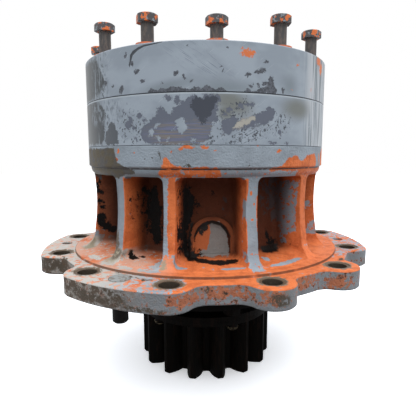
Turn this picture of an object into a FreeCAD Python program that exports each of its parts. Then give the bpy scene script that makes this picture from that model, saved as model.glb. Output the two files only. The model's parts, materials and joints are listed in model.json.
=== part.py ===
"""Swing gearbox of an excavator: a two-stage planetary reduction in a ribbed cast housing, motor removed.

Millimetres. +Z points up, away from the pinion. The origin is on the gearbox axis, in the plane of the
mounting flange's underside. Angles in the plan are measured from -Y (the front) towards +X.
"""

import FreeCAD
import Part
import math
import os

V = FreeCAD.Vector
Z_AXIS = V(0, 0, 1)
ORIGIN = V(0, 0, 0)

# Housing casting
body_radius = 185.0             # outside of the ring gears and of the housing's upper band
flange_thickness = 26.0
flange_step = 3.0               # the cast floor stands this much above the machined flange ring
flange_reach = 75.0             # of the lobes beyond the body
flange_hole_edge = 29.0         # from the circle of mounting holes out to the lobes' edge
flange_step_inset = 20.0        # from the circle of mounting holes in to the cast floor's edge
scallop_depth = 32.0
scallop_fillet = 22.0
flange_edge_break = 1.5
mount_holes = 12
mount_hole_radius = 12.0        # for M22 bolts
mount_hole_start = -10.0        # angle of the first mounting hole
mount_spot_radius = 16.5
mount_spot_depth = 1.0
jack_hole_radius = 8.65         # core of an M20 thread
jack_hole_angles = (-86.0, 94.0)
pin_hole_angles = (-26.0, 154.0)
paired_gaps = (3, 5, 9, 11)     # gaps between mounting holes that are filled out to the full radius
band_bottom = 154.0
housing_top = 183.0
band_lip = 2.5                  # height of the step below the band's machined rim
band_inset = 3.0                # of the cast band behind the machined rim
band_corner_bulge = (3.8, 5.0)  # middle of the band's rounded lower corner: in from the body, down
pocket_ceiling = 144.0
pocket_top_inset = 7.0          # this and the next insets are measured from the body's outside
waist_inset = 9.0               # slimmest place of the ribs' outer edge
waist_height = 100.0
rib_top_inset = 8.0
rib_top_height = 133.0
rib_low_inset = 4.7
rib_low_height = 57.0
rib_foot_sweep = 15.2           # how far the ribs' feet reach out over the flange
foot_bulge = (0.38, 0.30)       # middle of the foot's sweep, as shares of its width and height
floor_rise = 7.0                # of the pocket floors, from the ribs' feet to the wall
rib_thickness = 16.0
rib_half_turn_angles = (-75.0, -39.5, -14.5, 19.7, 50.8, 80.0)
wall_top_radius = 127.0         # cone behind the ribs
wall_foot_radius = 140.0
pocket_fillet = 8.0
boss_half_width = 30.5          # raised pad with an arched top in each wide pocket
boss_top = 90.0
boss_rim = 6.0
boss_stand_out = 7.0
boss_top_stand_out = 11.0
boss_root = 8.0                 # how deep the pad is rooted in the wall
boss_recess = 5.5
boss_top_recess = 8.25
boss_panel_lift = 4.0           # of the sunk panel above the pocket's floor
boss_angles = (4.0, 184.0)

# Cavities and seats inside the housing
upper_cavity_inset = 43.0       # of the planets' cavity from the body's outside
upper_cavity_floor = 148.0
web_bottom = 108.0
chamber_radius = 112.0
chamber_floor = 30.0
oil_passages = 4
oil_passage_radius = 9.0
oil_passage_circle = 92.0       # radius
lower_shoulder_radius = 90.0
upper_shoulder_radius = 62.0
neck_radius = 133.0             # bearing neck below the flange
neck_bottom = -35.0
pilot_radius = 150.0            # spigot that centres the flange in the machine
pilot_height = 8.0

# Ring gears, both with the body's outside radius
second_ring_height = 62.0
first_ring_height = 58.0
ring_bolts = 12
ring_bolt_inset = 18.5          # of the bolts' circle from the body's outside
ring_bolt_start = 5.0
ring_bolt_hole_radius = 8.75
tapped_hole_depth = 32.0
motor_pilot_inset = 43.0
motor_pilot_depth = 8.0
ring_groove_inset = 37.0        # O-ring groove in each joint face
ring_groove_width = 5.0
ring_groove_depth = 3.5
ring_seal_section = 1.7         # radius of the O-ring's section
ring_dowel_angle = 20.0
ring_dowel_radius = 5.0
ring_dowel_length = 24.0

# Ring bolts, M16, backed out: heights of the heads' undersides above the top face
bolt_radius = 8.0
bolt_length = 170.0
bolt_head_height = 10.0
bolt_head_flats = 24.0
bolt_point = 1.5                # chamfer at a bolt's end
crown_share = 0.95              # of the flats: the flat disc on top of a hexagon head
socket_share = 0.95             # of a cap screw's radius: its socket's corners
socket_floor_share = 0.4        # of a cap screw's head height
bolt_lifts = (21.0, 31.0, 32.0, 23.0, 28.0, 22.0, 29.0, 20.0, 26.0, 24.5, 34.0, 28.0)
bolt_turns = (24.0, 3.0, 14.0, 40.0, 8.0, 51.0, 17.0, 33.0, 46.0, 12.0, 38.0, 21.0)
washer_radius = 15.0
washer_thickness = 3.0

# Output pinion and its shaft
pinion_teeth = 15
pinion_module = 12.0
pinion_shift = 0.5              # profile shift, in modules
pinion_tip_cut = 0.5
pinion_bottom = -165.0
pinion_top = -80.5
pinion_end_bevel = 3.0
pinion_backlash = 0.6
pinion_root_fillet = 3.5
pinion_tooth_angle = 13.0       # plan angle of one tooth
pinion_centre_radius = 24.0     # shallow turned recess in the lower face
pinion_centre_depth = 4.0
collar_radius = 108.0           # collar on top of the teeth
collar_thickness = 7.0
guard_thickness = 7.5           # guard ring on the collar
guard_seat_radius = 70.0
guard_screws = 5
guard_screw_circle = 97.5       # radius; the heads stand in gaps between the teeth
guard_screw_radius = 5.0
guard_screw_head_radius = 8.0
guard_screw_head_height = 9.0
journal_radius = 55.0           # seat of the seal sleeve and the lower bearing
sleeve_radius = 62.0
mid_shaft_radius = 50.0
mid_shaft_bottom = 24.0
mid_shaft_top = 107.0
upper_journal_radius = 40.0
spline_teeth = 24
spline_tip_radius = 39.0
spline_root_radius = 36.0
spline_root_share = 0.54        # of the tooth pitch that a spline tooth fills at its root
spline_tip_share = 0.44
spline_gap = 0.05
shaft_top = 174.0

# Bearings of the output shaft: tapered rollers, face to face
lower_bearing_outer = 100.0
lower_bearing_width = 53.0
lower_bearing_bottom = -33.0
upper_bearing_outer = 70.0
upper_bearing_width = 33.0
upper_bearing_bottom = 112.0
lower_bearing_rollers = 20
upper_bearing_rollers = 18
bearing_angle = 15.0            # of the roller axes to the shaft
roller_share = 0.32             # roller diameter as a share of the ring space
roller_length_share = 0.60
roller_gap = 0.3
cage_thickness = 2.0

# Seal and retainer below the lower bearing
retainer_thickness = 11.0
retainer_bolts = 8
retainer_bolt_circle = 119.0    # radius
retainer_bolt_start = 19.0
retainer_bolt_length = 32.0
retainer_hole_depth = 26.0
seal_outer_radius = 76.0
seal_height = 12.0
seal_lip_gap = 0.3
seal_wall = 3.0
retainer_opening = 84.0

# Planetary stages: teeth of sun, planet and ring
planets = 3
second_ring_wall = 43.75        # between the ring's tooth roots and the body's outside
second_sun_teeth = 18
second_planet_teeth = 18
second_ring_teeth = 54
first_ring_wall = 48.0
first_sun_teeth = 18
first_planet_teeth = 24
first_ring_teeth = 66
pressure_angle = math.radians(20.0)
gear_backlash = 0.3
addendum = 1.0
dedendum = 1.25
second_gear_bottom = 186.0
second_gear_height = 50.0
first_gear_bottom = 264.4
first_gear_height = 25.0
first_stage_start = 90.0        # plan angle of the first planet, from +X
second_stage_start = 30.0
thrust_washer_thickness = 1.5
gear_side_gap = 0.4

# Carriers, pins and needle bearings
second_carrier_rim = 32.0       # beyond the circle of planet pins
second_carrier_bottom = 158.0
second_carrier_opening = 54.0
second_carrier_upper_plate = 7.0
second_hub_radius = 64.0
second_hub_bottom = 149.0
second_nose_radius = 50.0
end_recess_radius = 47.0
end_recess_depth = 8.0
end_plate_thickness = 6.5
end_screws = 3
end_screw_circle = 20.0
end_screw_radius = 5.0
end_screw_head_radius = 8.0
end_screw_head_height = 5.0
end_screw_length = 28.0
thrust_button_radius = 20.0
second_pin_radius = 16.0
second_needle_radius = 2.4
second_washer_radius = 30.0
web_half_angle = 19.0           # half of each carrier web between the planets
web_inner_radius = 57.0
first_carrier_rim = 32.0
first_carrier_bottom = 249.5
first_carrier_thickness = 13.0
first_carrier_hole_radius = 14.0
first_pin_radius = 13.0
first_needle_radius = 2.0
first_washer_radius = 26.0
needles = 12
needle_play = 0.08
needle_end_gap = 2.0
needle_cage_thickness = 1.2
pin_floor = 2.0
pin_ring_height = 1.5
pin_ring_width = 3.5
pin_groove_depth = 1.0
pin_end = 1.2

# Input sun gear
input_top = 294.0
input_hub_radius = 28.0
input_bore_radius = 17.0        # inside the spline's teeth
input_spline_teeth = 16
input_spline_depth = 2.5
input_thrust_radius = 26.0
input_thrust_thickness = 1.6

# Drain plug in the rear arched pad
drain_angle = 184.0
drain_height = 54.0
drain_plug_radius = 9.0
drain_seat = 135.5              # distance of the machined seat from the axis
drain_spot_radius = 17.0
drain_head_flats = 22.0
drain_head_height = 8.0
drain_plug_length = 21.0
drain_washer_radius = 13.5
drain_washer_thickness = 1.5
drain_bore_start = 102.0        # distance of the drain hole's inner end from the axis

# Stepped locating pins in the flange
pin_radius = 9.5                # of the stretch that stands out below the flange
pin_seat_radius = 10.5
pin_head_radius = 13.0
pin_head_sink = 8.0
pin_head_stand_out = 2.0
pin_reach = 27.0                # below the flange
pin_point = 2.0

# Sizes that follow from the ones above
floor_height = flange_thickness + flange_step
flange_radius = body_radius + flange_reach
flange_hole_circle = flange_radius - flange_hole_edge
flange_base_radius = flange_radius - scallop_depth
flange_step_radius = flange_hole_circle - flange_step_inset
band_corner_radius = body_radius - band_inset
pocket_top_radius = body_radius - pocket_top_inset
waist_radius = body_radius - waist_inset
rib_top_radius = body_radius - rib_top_inset
rib_low_radius = body_radius - rib_low_inset
rib_foot_radius = rib_low_radius + rib_foot_sweep
ring_bolt_circle = body_radius - ring_bolt_inset
ring_groove_radius = body_radius - ring_groove_inset
motor_pilot_radius = body_radius - motor_pilot_inset
upper_cavity_radius = body_radius - upper_cavity_inset
upper_bearing_top = upper_bearing_bottom + upper_bearing_width
lower_bearing_top = lower_bearing_bottom + lower_bearing_width
second_ring_top = housing_top + second_ring_height
gearbox_top = second_ring_top + first_ring_height
second_module = (body_radius - second_ring_wall) / (second_ring_teeth / 2 + dedendum)
first_module = (body_radius - first_ring_wall) / (first_ring_teeth / 2 + dedendum)
second_centre_distance = second_module * (second_sun_teeth + second_planet_teeth) / 2
first_centre_distance = first_module * (first_sun_teeth + first_planet_teeth) / 2
second_carrier_radius = second_centre_distance + second_carrier_rim
first_carrier_radius = first_centre_distance + first_carrier_rim


def polar(radius, degrees, z=0.0):
    """Point at a plan angle counted from the front, -Y, towards +X."""
    a = math.radians(degrees)
    return V(radius * math.sin(a), -radius * math.cos(a), z)


def turned(shape, degrees):
    """Copy of a shape turned about the gearbox axis."""
    copy = shape.copy()
    copy.rotate(ORIGIN, Z_AXIS, degrees)
    return copy


def cylinder(radius, bottom, top, centre=ORIGIN):
    """Upright cylinder between two heights."""
    return Part.makeCylinder(radius, top - bottom, V(centre.x, centre.y, bottom), Z_AXIS)


def ring(outer, inner, bottom, top, centre=ORIGIN):
    """Upright plain ring between two heights."""
    return cylinder(outer, bottom, top, centre).cut(cylinder(inner, bottom - 1, top + 1, centre))


def revolved(points, angle=360.0):
    """Solid of revolution about Z from (radius, height) points."""
    wire = Part.makePolygon([V(r, 0, z) for r, z in points + [points[0]]])
    return Part.Face(wire).revolve(ORIGIN, Z_AXIS, angle)


def prism(wire, bottom, top):
    """Straight prism over a plan wire."""
    face = Part.Face(wire)
    face.translate(V(0, 0, bottom))
    return face.extrude(V(0, 0, top - bottom))


def hexagon_head(flats, bottom, height, turn):
    """Hexagon head on the Z axis, its top corners turned off to 30 degrees."""
    corner = flats / math.sqrt(3)
    points = [polar(corner, turn + 60 * k) for k in range(7)]
    head = prism(Part.makePolygon(points), bottom, bottom + height)
    disc = flats * crown_share / 2
    reach = corner + 1
    drop = (reach - disc) * math.tan(math.radians(30))
    crown = revolved([(0, bottom), (reach, bottom), (reach, bottom + height - drop), (disc, bottom + height),
                      (0, bottom + height)])
    return head.common(crown)


def hexagon_bolt(radius, length, flats, head_height, turn=0.0):
    """Hexagon bolt on the Z axis, head up, with its seat at height 0 and its end chamfered."""
    shank = revolved([(0, 0.0), (radius, 0.0), (radius, bolt_point - length), (radius - bolt_point, -length),
                      (0, -length)])
    return shank.fuse(hexagon_head(flats, 0.0, head_height, turn)).removeSplitter()


def involute(angle):
    return math.tan(angle) - angle


def half_thickness_angle(radius, teeth, module, shift, backlash):
    """Half of a tooth's angle at a radius, for an involute tooth."""
    pitch_radius = module * teeth / 2
    at_pitch = (math.pi / 2 + 2 * shift * math.tan(pressure_angle)) / teeth - backlash / 2 / pitch_radius
    base = pitch_radius * math.cos(pressure_angle)
    here = math.acos(min(1.0, base / max(radius, base)))
    return at_pitch + involute(pressure_angle) - involute(here)


def tooth_flank(teeth, module, shift, backlash, low, high, steps):
    """(radius, half angle) pairs along one flank, from its foot to its tip."""
    base = module * teeth / 2 * math.cos(pressure_angle)
    start = max(low, base)
    radii = [start + (high - start) * k / steps for k in range(steps + 1)]
    flank = [(r, half_thickness_angle(r, teeth, module, shift, backlash)) for r in radii]
    if low < base:
        flank.insert(0, (low, flank[0][1]))
    return flank


def gear_wire(teeth, module, tip, root, backlash, turn=0.0, shift=0.0, steps=2):
    """Closed plan wire of a gear, one tooth pointing at the plan angle turn (radians from +X)."""
    flank = tooth_flank(teeth, module, shift, backlash, root, tip, steps)
    points = []
    for k in range(teeth):
        middle = turn + 2 * math.pi * k / teeth
        for r, half in flank:
            points.append(V(r * math.cos(middle - half), r * math.sin(middle - half), 0))
        for r, half in reversed(flank):
            points.append(V(r * math.cos(middle + half), r * math.sin(middle + half), 0))
    return Part.makePolygon(points + [points[0]])


def external_gear(teeth, module, bottom, height, turn=0.0):
    """Spur gear about Z, its ends lightly chamfered."""
    pitch_radius = module * teeth / 2
    tip = pitch_radius + addendum * module
    root = pitch_radius - dedendum * module
    body = prism(gear_wire(teeth, module, tip, root, gear_backlash, turn), bottom, bottom + height)
    bevel = module * 0.3
    envelope = revolved([(0, bottom), (tip - bevel, bottom), (tip + 0.1, bottom + bevel),
                         (tip + 0.1, bottom + height - bevel), (tip - bevel, bottom + height),
                         (0, bottom + height)])
    return body.common(envelope)


def ring_space(teeth, module, bottom, top, turn):
    """Solid that leaves the internal teeth of a ring gear when it is cut out."""
    pitch_radius = module * teeth / 2
    tip = pitch_radius + dedendum * module
    root = pitch_radius - addendum * module
    return prism(gear_wire(teeth, module, tip, root, -gear_backlash, turn), bottom, top)


def planet_turn(place, sun_teeth, planet_teeth):
    """Turn of a planet at plan angle place that meshes with a sun whose tooth points along +X."""
    sun_phase = place * sun_teeth / (2 * math.pi)
    planet_phase = 0.5 - sun_phase
    return place + math.pi - planet_phase * 2 * math.pi / planet_teeth


def space_turn(place, planet_angle, planet_teeth, ring_teeth):
    """Turn of a ring gear's tooth spaces that mesh with a planet at plan angle place."""
    planet_phase = (place - planet_angle) * planet_teeth / (2 * math.pi)
    return place - planet_phase * 2 * math.pi / ring_teeth


def planet_places(start_degrees):
    """Plan angles, in radians from +X, of one stage's planets."""
    return [math.radians(start_degrees) + 2 * math.pi * k / planets for k in range(planets)]


def at(radius, place, z=0.0):
    """Point at a plan angle in radians from +X."""
    return V(radius * math.cos(place), radius * math.sin(place), z)


def mount_hole_angles():
    return [mount_hole_start + 360 / mount_holes * k for k in range(mount_holes)]


def rib_angles():
    """Ribs repeat after half a turn; the wide pockets at the front and rear hold the arched pads."""
    return sorted(a + half for half in (0, 180) for a in rib_half_turn_angles)


def flange_wire():
    """Scalloped outline: an ear round each hole, joined to the base circle by tangent fillet arcs."""
    far = flange_base_radius + scallop_fillet
    near = flange_hole_edge + scallop_fillet
    cosine = (far ** 2 + flange_hole_circle ** 2 - near ** 2) / (2 * far * flange_hole_circle)
    swing = math.degrees(math.acos(cosine))
    step = 360 / mount_holes
    edges = []

    def fillet_points(hole, side):
        """Where a fillet leaves the base circle, its middle, and where it meets the ear."""
        ear = polar(flange_hole_circle, hole)
        centre = polar(far, hole + side * swing)
        on_base = polar(flange_base_radius, hole + side * swing)
        on_ear = ear + (centre - ear).normalize() * flange_hole_edge
        middle_way = ((on_base + on_ear) * 0.5 - centre).normalize()
        return on_base, centre + middle_way * scallop_fillet, on_ear

    for k, hole in enumerate(mount_hole_angles()):
        top = polar(flange_radius, hole)
        ear = polar(flange_hole_circle, hole)
        if (k - 1) % mount_holes not in paired_gaps:
            base, middle, on_ear = fillet_points(hole, -1)
            edges.append(Part.Arc(base, middle, on_ear).toShape())
            half_way = ear + ((on_ear + top) * 0.5 - ear).normalize() * flange_hole_edge
            edges.append(Part.Arc(on_ear, half_way, top).toShape())
        if k in paired_gaps:
            crest = polar(flange_radius, hole + step / 2)
            edges.append(Part.Arc(top, crest, polar(flange_radius, hole + step)).toShape())
        else:
            base, middle, on_ear = fillet_points(hole, 1)
            half_way = ear + ((on_ear + top) * 0.5 - ear).normalize() * flange_hole_edge
            edges.append(Part.Arc(top, half_way, on_ear).toShape())
            edges.append(Part.Arc(on_ear, middle, base).toShape())
            valley = polar(flange_base_radius, hole + step / 2)
            edges.append(Part.Arc(base, valley, polar(flange_base_radius, hole + step - swing)).toShape())
    return Part.Wire(Part.__sortEdges__(edges))


def flange_plate():
    """Mounting flange with its holes, their spot faces and the raised cast floor."""
    plate = prism(flange_wire(), 0.0, flange_thickness)
    rims = [e for f in plate.Faces if abs(f.normalAt(0, 0).z) > 0.99 for e in f.OuterWire.Edges]
    plate = plate.makeChamfer(flange_edge_break, rims)
    plate = plate.fuse(cylinder(flange_step_radius, flange_thickness - 1, floor_height))
    tools = []
    for angle in mount_hole_angles():
        centre = polar(flange_hole_circle, angle)
        tools.append(cylinder(mount_hole_radius, -1, floor_height, centre))
        tools.append(cylinder(mount_spot_radius, flange_thickness - mount_spot_depth, floor_height, centre))
    for angle in jack_hole_angles:
        tools.append(cylinder(jack_hole_radius, -1, floor_height, polar(flange_hole_circle, angle)))
    for angle in pin_hole_angles:
        centre = polar(flange_hole_circle, angle)
        tools.append(cylinder(pin_seat_radius, -1, floor_height, centre))
        tools.append(cylinder(pin_head_radius, flange_thickness - pin_head_sink, floor_height, centre))
    return plate.cut(Part.makeCompound(tools))


def rib_envelope():
    """Solid of revolution that the pockets are cut from: band, waist and the sweep to the flange."""
    bulge_radius = rib_low_radius + rib_foot_sweep * foot_bulge[0]
    bulge_height = floor_height + (rib_low_height - floor_height) * foot_bulge[1]
    foot_sweep = Part.Arc(V(rib_low_radius, 0, rib_low_height), V(bulge_radius, 0, bulge_height),
                          V(rib_foot_radius, 0, floor_height)).toShape()
    waist = Part.Arc(V(rib_top_radius, 0, rib_top_height), V(waist_radius, 0, waist_height),
                     V(rib_low_radius, 0, rib_low_height)).toShape()
    inset, drop = band_corner_bulge
    rib_head = V(pocket_top_radius, 0, pocket_ceiling + 1)
    corner = Part.Arc(V(band_corner_radius, 0, band_bottom), V(body_radius - inset, 0, band_bottom - drop),
                      rib_head).toShape()
    corners = [(rib_foot_radius, floor_height), (rib_foot_radius, 1), (0, 1), (0, housing_top),
               (body_radius, housing_top), (body_radius, band_bottom + band_lip),
               (band_corner_radius, band_bottom)]
    points = [V(r, 0, z) for r, z in corners]
    lines = [Part.makeLine(a, b) for a, b in zip(points, points[1:])]
    lines.append(Part.makeLine(rib_head, V(rib_top_radius, 0, rib_top_height)))
    wire = Part.Wire(Part.__sortEdges__(lines + [foot_sweep, waist, corner]))
    return Part.Face(wire).revolve(ORIGIN, Z_AXIS, 360)


def pocket_tool(low_angle, high_angle):
    """Space between two neighbouring ribs, with rounded inner corners."""
    reach = rib_foot_radius + 5
    span = high_angle - low_angle
    section = revolved([(wall_foot_radius, floor_height + floor_rise), (reach, floor_height),
                        (reach, pocket_ceiling), (wall_top_radius, pocket_ceiling)], span)
    section.rotate(ORIGIN, Z_AXIS, low_angle - 90)
    for angle in (low_angle, high_angle):
        slab = Part.makeBox(rib_thickness, reach + 10, pocket_ceiling, V(-rib_thickness / 2, 0, 0))
        slab.rotate(ORIGIN, Z_AXIS, 180 + angle)
        section = section.cut(slab)
    section = section.removeSplitter()
    inner = []
    for edge in section.Edges:
        radii = [math.hypot(v.Point.x, v.Point.y) for v in edge.Vertexes]
        if max(radii) < reach - 5 or (min(radii) < wall_foot_radius + 20 and max(radii) > reach - 5):
            inner.append(edge)
    return section.makeFillet(pocket_fillet, inner)


def arch(half_width, foot, top, depth):
    """Upright slab with a round top that reaches from the axis to a depth in front of it."""
    spring_line = top - half_width
    corners = [V(-half_width, 0, spring_line), V(-half_width, 0, foot), V(half_width, 0, foot),
               V(half_width, 0, spring_line)]
    lines = [Part.makeLine(a, b) for a, b in zip(corners, corners[1:])]
    bow = Part.Arc(corners[0], V(0, 0, top), corners[-1]).toShape()
    face = Part.Face(Part.Wire(Part.__sortEdges__(lines + [bow])))
    return face.extrude(V(0, -depth, 0))


def arched_pad(angle):
    """Cast pad low in a wide pocket, and the sunk panel to cut out of it."""
    depth = body_radius
    foot = floor_height - 2
    inner = wall_top_radius - boss_root
    pad_foot = wall_foot_radius + boss_stand_out
    pad_top = wall_top_radius + boss_top_stand_out
    outer = revolved([(inner, foot), (pad_foot, foot), (pad_top, boss_top), (inner, boss_top)])
    pad = arch(boss_half_width, foot, boss_top, depth).common(outer)
    beyond = revolved([(pad_foot - boss_recess, foot), (depth, foot), (depth, boss_top),
                       (pad_top - boss_top_recess, boss_top)])
    panel_low = floor_height + floor_rise + boss_panel_lift
    sink = arch(boss_half_width - boss_rim, panel_low, boss_top - boss_rim, depth).common(beyond)
    return turned(pad, angle), turned(sink, angle)


def make_housing():
    """One casting: flange, ribs, band, bearing web and neck."""
    body = flange_plate().fuse(rib_envelope())
    angles = rib_angles()
    pockets = [pocket_tool(low, high) for low, high in zip(angles, angles[1:] + [angles[0] + 360])]
    body = body.cut(Part.makeCompound(pockets))
    pads = [arched_pad(angle) for angle in boss_angles]
    body = body.fuse([pad for pad, sink in pads])
    body = body.fuse([cylinder(pilot_radius, -pilot_height, 1), cylinder(neck_radius, neck_bottom, 1)])
    tools = [sink for pad, sink in pads]
    tools.append(revolved([
        (0, neck_bottom - 1), (lower_bearing_outer, neck_bottom - 1),
        (lower_bearing_outer, lower_bearing_top), (lower_shoulder_radius, lower_bearing_top),
        (lower_shoulder_radius, chamber_floor), (chamber_radius, chamber_floor),
        (chamber_radius, web_bottom), (upper_shoulder_radius, web_bottom),
        (upper_shoulder_radius, upper_bearing_bottom), (upper_bearing_outer, upper_bearing_bottom),
        (upper_bearing_outer, upper_cavity_floor), (upper_cavity_radius, upper_cavity_floor),
        (upper_cavity_radius, housing_top + 1), (0, housing_top + 1)]))
    for k in range(oil_passages):
        centre = polar(oil_passage_circle, 45 + 360 / oil_passages * k)
        tools.append(cylinder(oil_passage_radius, web_bottom - 1, upper_cavity_floor + 1, centre))
    for angle in ring_bolt_angles():
        centre = polar(ring_bolt_circle, angle)
        tools.append(cylinder(bolt_radius, housing_top - tapped_hole_depth, housing_top + 1, centre))
    for angle in retainer_bolt_angles():
        centre = polar(retainer_bolt_circle, angle)
        tools.append(cylinder(bolt_radius, neck_bottom - 1, neck_bottom + retainer_hole_depth, centre))
    dowel_bottom = housing_top - ring_dowel_length / 2
    for angle in dowel_angles():
        centre = polar(ring_bolt_circle, angle)
        tools.append(cylinder(ring_dowel_radius, dowel_bottom, housing_top + 1, centre))
    beyond = body_radius - drain_bore_start
    bore = Part.makeCylinder(drain_plug_radius, beyond, V(0, -drain_bore_start, drain_height), V(0, -1, 0))
    spot = Part.makeCylinder(drain_spot_radius, beyond, V(0, -drain_seat, drain_height), V(0, -1, 0))
    tools += [turned(bore, drain_angle), turned(spot, drain_angle)]
    return body.cut(Part.makeCompound(tools)).removeSplitter()


def ring_bolt_angles():
    return [ring_bolt_start + 360 / ring_bolts * k for k in range(ring_bolts)]


def retainer_bolt_angles():
    return [retainer_bolt_start + 360 / retainer_bolts * k for k in range(retainer_bolts)]


def dowel_angles():
    return [ring_dowel_angle, ring_dowel_angle + 180]


def make_ring_gear(teeth, module, bottom, top, turn, pilot_depth):
    """Ring gear with bolt holes, dowel holes and a seal groove in its lower face."""
    edge = 0.8
    blank = revolved([(0, bottom), (body_radius - edge, bottom), (body_radius, bottom + edge),
                      (body_radius, top - edge), (body_radius - edge, top), (0, top)])
    tools = [ring_space(teeth, module, bottom - 1, top + 1, turn)]
    if pilot_depth:
        tools.append(cylinder(motor_pilot_radius, top - pilot_depth, top + 1))
    for angle in ring_bolt_angles():
        tools.append(cylinder(ring_bolt_hole_radius, bottom - 1, top + 1, polar(ring_bolt_circle, angle)))
    for angle in dowel_angles():
        centre = polar(ring_bolt_circle, angle)
        tools.append(cylinder(ring_dowel_radius, bottom - 1, bottom + ring_dowel_length / 2, centre))
        if not pilot_depth:
            tools.append(cylinder(ring_dowel_radius, top - ring_dowel_length / 2, top + 1, centre))
    blank = blank.cut(Part.makeCompound(tools))
    return blank.cut(ring(ring_groove_radius + ring_groove_width / 2,
                          ring_groove_radius - ring_groove_width / 2, bottom - 1, bottom + ring_groove_depth))


def make_bearing(bore, outer, bottom, width, count, wide_end_down):
    """Tapered roller bearing: inner race, outer race, rollers and cage."""
    space = outer - bore
    mean = (outer + bore) / 2
    middle = bottom + width / 2
    tilt = math.radians(bearing_angle)
    roller_radius = space * roller_share / 2
    reach = mean / math.sin(tilt)
    taper = math.asin(roller_radius / reach)
    apex = middle + mean / math.tan(tilt)
    length = width * roller_length_share
    half = length / 2 * math.cos(tilt)

    def race(height, angle):
        return (apex - height) * math.tan(angle)

    low = middle - half - roller_radius * math.sin(tilt) - roller_gap
    high = middle + half + roller_radius * math.sin(tilt) + roller_gap
    top = bottom + width
    inner_angle = tilt - taper
    rib = roller_radius * 0.5
    rib_low = race(low, inner_angle) + rib
    rib_high = race(high, inner_angle) + rib * 0.6
    inner = revolved([(bore, bottom), (rib_low, bottom), (rib_low, low), (race(low, inner_angle), low),
                      (race(high, inner_angle), high), (rib_high, high), (rib_high, top), (bore, top)])
    outer_angle = tilt + taper
    play = roller_gap / math.cos(outer_angle)
    cup = revolved([(race(bottom, outer_angle) + play, bottom), (outer, bottom), (outer, top),
                    (race(top, outer_angle) + play, top)])
    lengthwise = V(math.sin(tilt), 0, -math.cos(tilt))
    start = V(0, 0, apex) + lengthwise * (reach - length / 2)
    roller = Part.makeCone((reach - length / 2) * math.tan(taper), (reach + length / 2) * math.tan(taper),
                           length, start, lengthwise)
    window_start = V(0, 0, apex) + lengthwise * (reach - length / 2 - roller_gap)
    window = Part.makeCone((reach - length / 2) * math.tan(taper) + roller_gap,
                           (reach + length / 2) * math.tan(taper) + roller_gap,
                           length + 2 * roller_gap, window_start, lengthwise)
    skin = cage_thickness / 2
    cage = revolved([(race(low, tilt) - skin, low), (race(low, tilt) + skin, low),
                     (race(high, tilt) + skin, high), (race(high, tilt) - skin, high)])
    windows = Part.makeCompound([turned(window, 360 / count * k) for k in range(count)])
    cage = cage.cut(windows)
    rollers = Part.makeCompound([turned(roller, 360 / count * k) for k in range(count)])
    parts = [inner, cup, rollers, cage]
    if not wide_end_down:
        parts = [shape.mirror(V(0, 0, middle), Z_AXIS) for shape in parts]
    return parts


def pinion_blank():
    """Pinion teeth with rounded roots and bevelled ends."""
    pitch_radius = pinion_module * pinion_teeth / 2
    tip = pitch_radius + pinion_module * (addendum + pinion_shift) - pinion_tip_cut
    root = pitch_radius - pinion_module * (dedendum - pinion_shift)
    flank = tooth_flank(pinion_teeth, pinion_module, pinion_shift, pinion_backlash,
                        root + pinion_root_fillet, tip, 4)
    foot = flank[0][1]
    corner = pinion_root_fillet * (1 - math.sqrt(0.5))
    flank = [(root, foot + pinion_root_fillet / root), (root + corner, foot + corner / root)] + flank
    points = []
    first = math.radians(pinion_tooth_angle - 90)
    for k in range(pinion_teeth):
        middle = first + 2 * math.pi * k / pinion_teeth
        points += [at(r, middle - half) for r, half in flank]
        points += [at(r, middle + half) for r, half in reversed(flank)]
    body = prism(Part.makePolygon(points + [points[0]]), pinion_bottom, pinion_top)
    bevel = pinion_end_bevel
    envelope = revolved([(0, pinion_bottom), (tip - bevel, pinion_bottom), (tip + 0.1, pinion_bottom + bevel),
                         (tip + 0.1, pinion_top), (0, pinion_top)])
    return body.common(envelope)


def spline_wire(teeth, tip, root, gap=0.0):
    """Closed plan wire of a straight-sided spline."""
    step = 2 * math.pi / teeth
    points = []
    for k in range(teeth):
        middle = k * step
        for r, share, side in ((root, spline_root_share, -1), (tip, spline_tip_share, -1),
                               (tip, spline_tip_share, 1), (root, spline_root_share, 1)):
            points.append(at(r + gap, middle + side * (share * step / 2 + gap / r)))
    return Part.makePolygon(points + [points[0]])


def guard_screw_angles():
    """Every third tooth gap."""
    gap = pinion_tooth_angle + 180 / pinion_teeth
    return [gap + 360 / guard_screws * k for k in range(guard_screws)]


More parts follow.
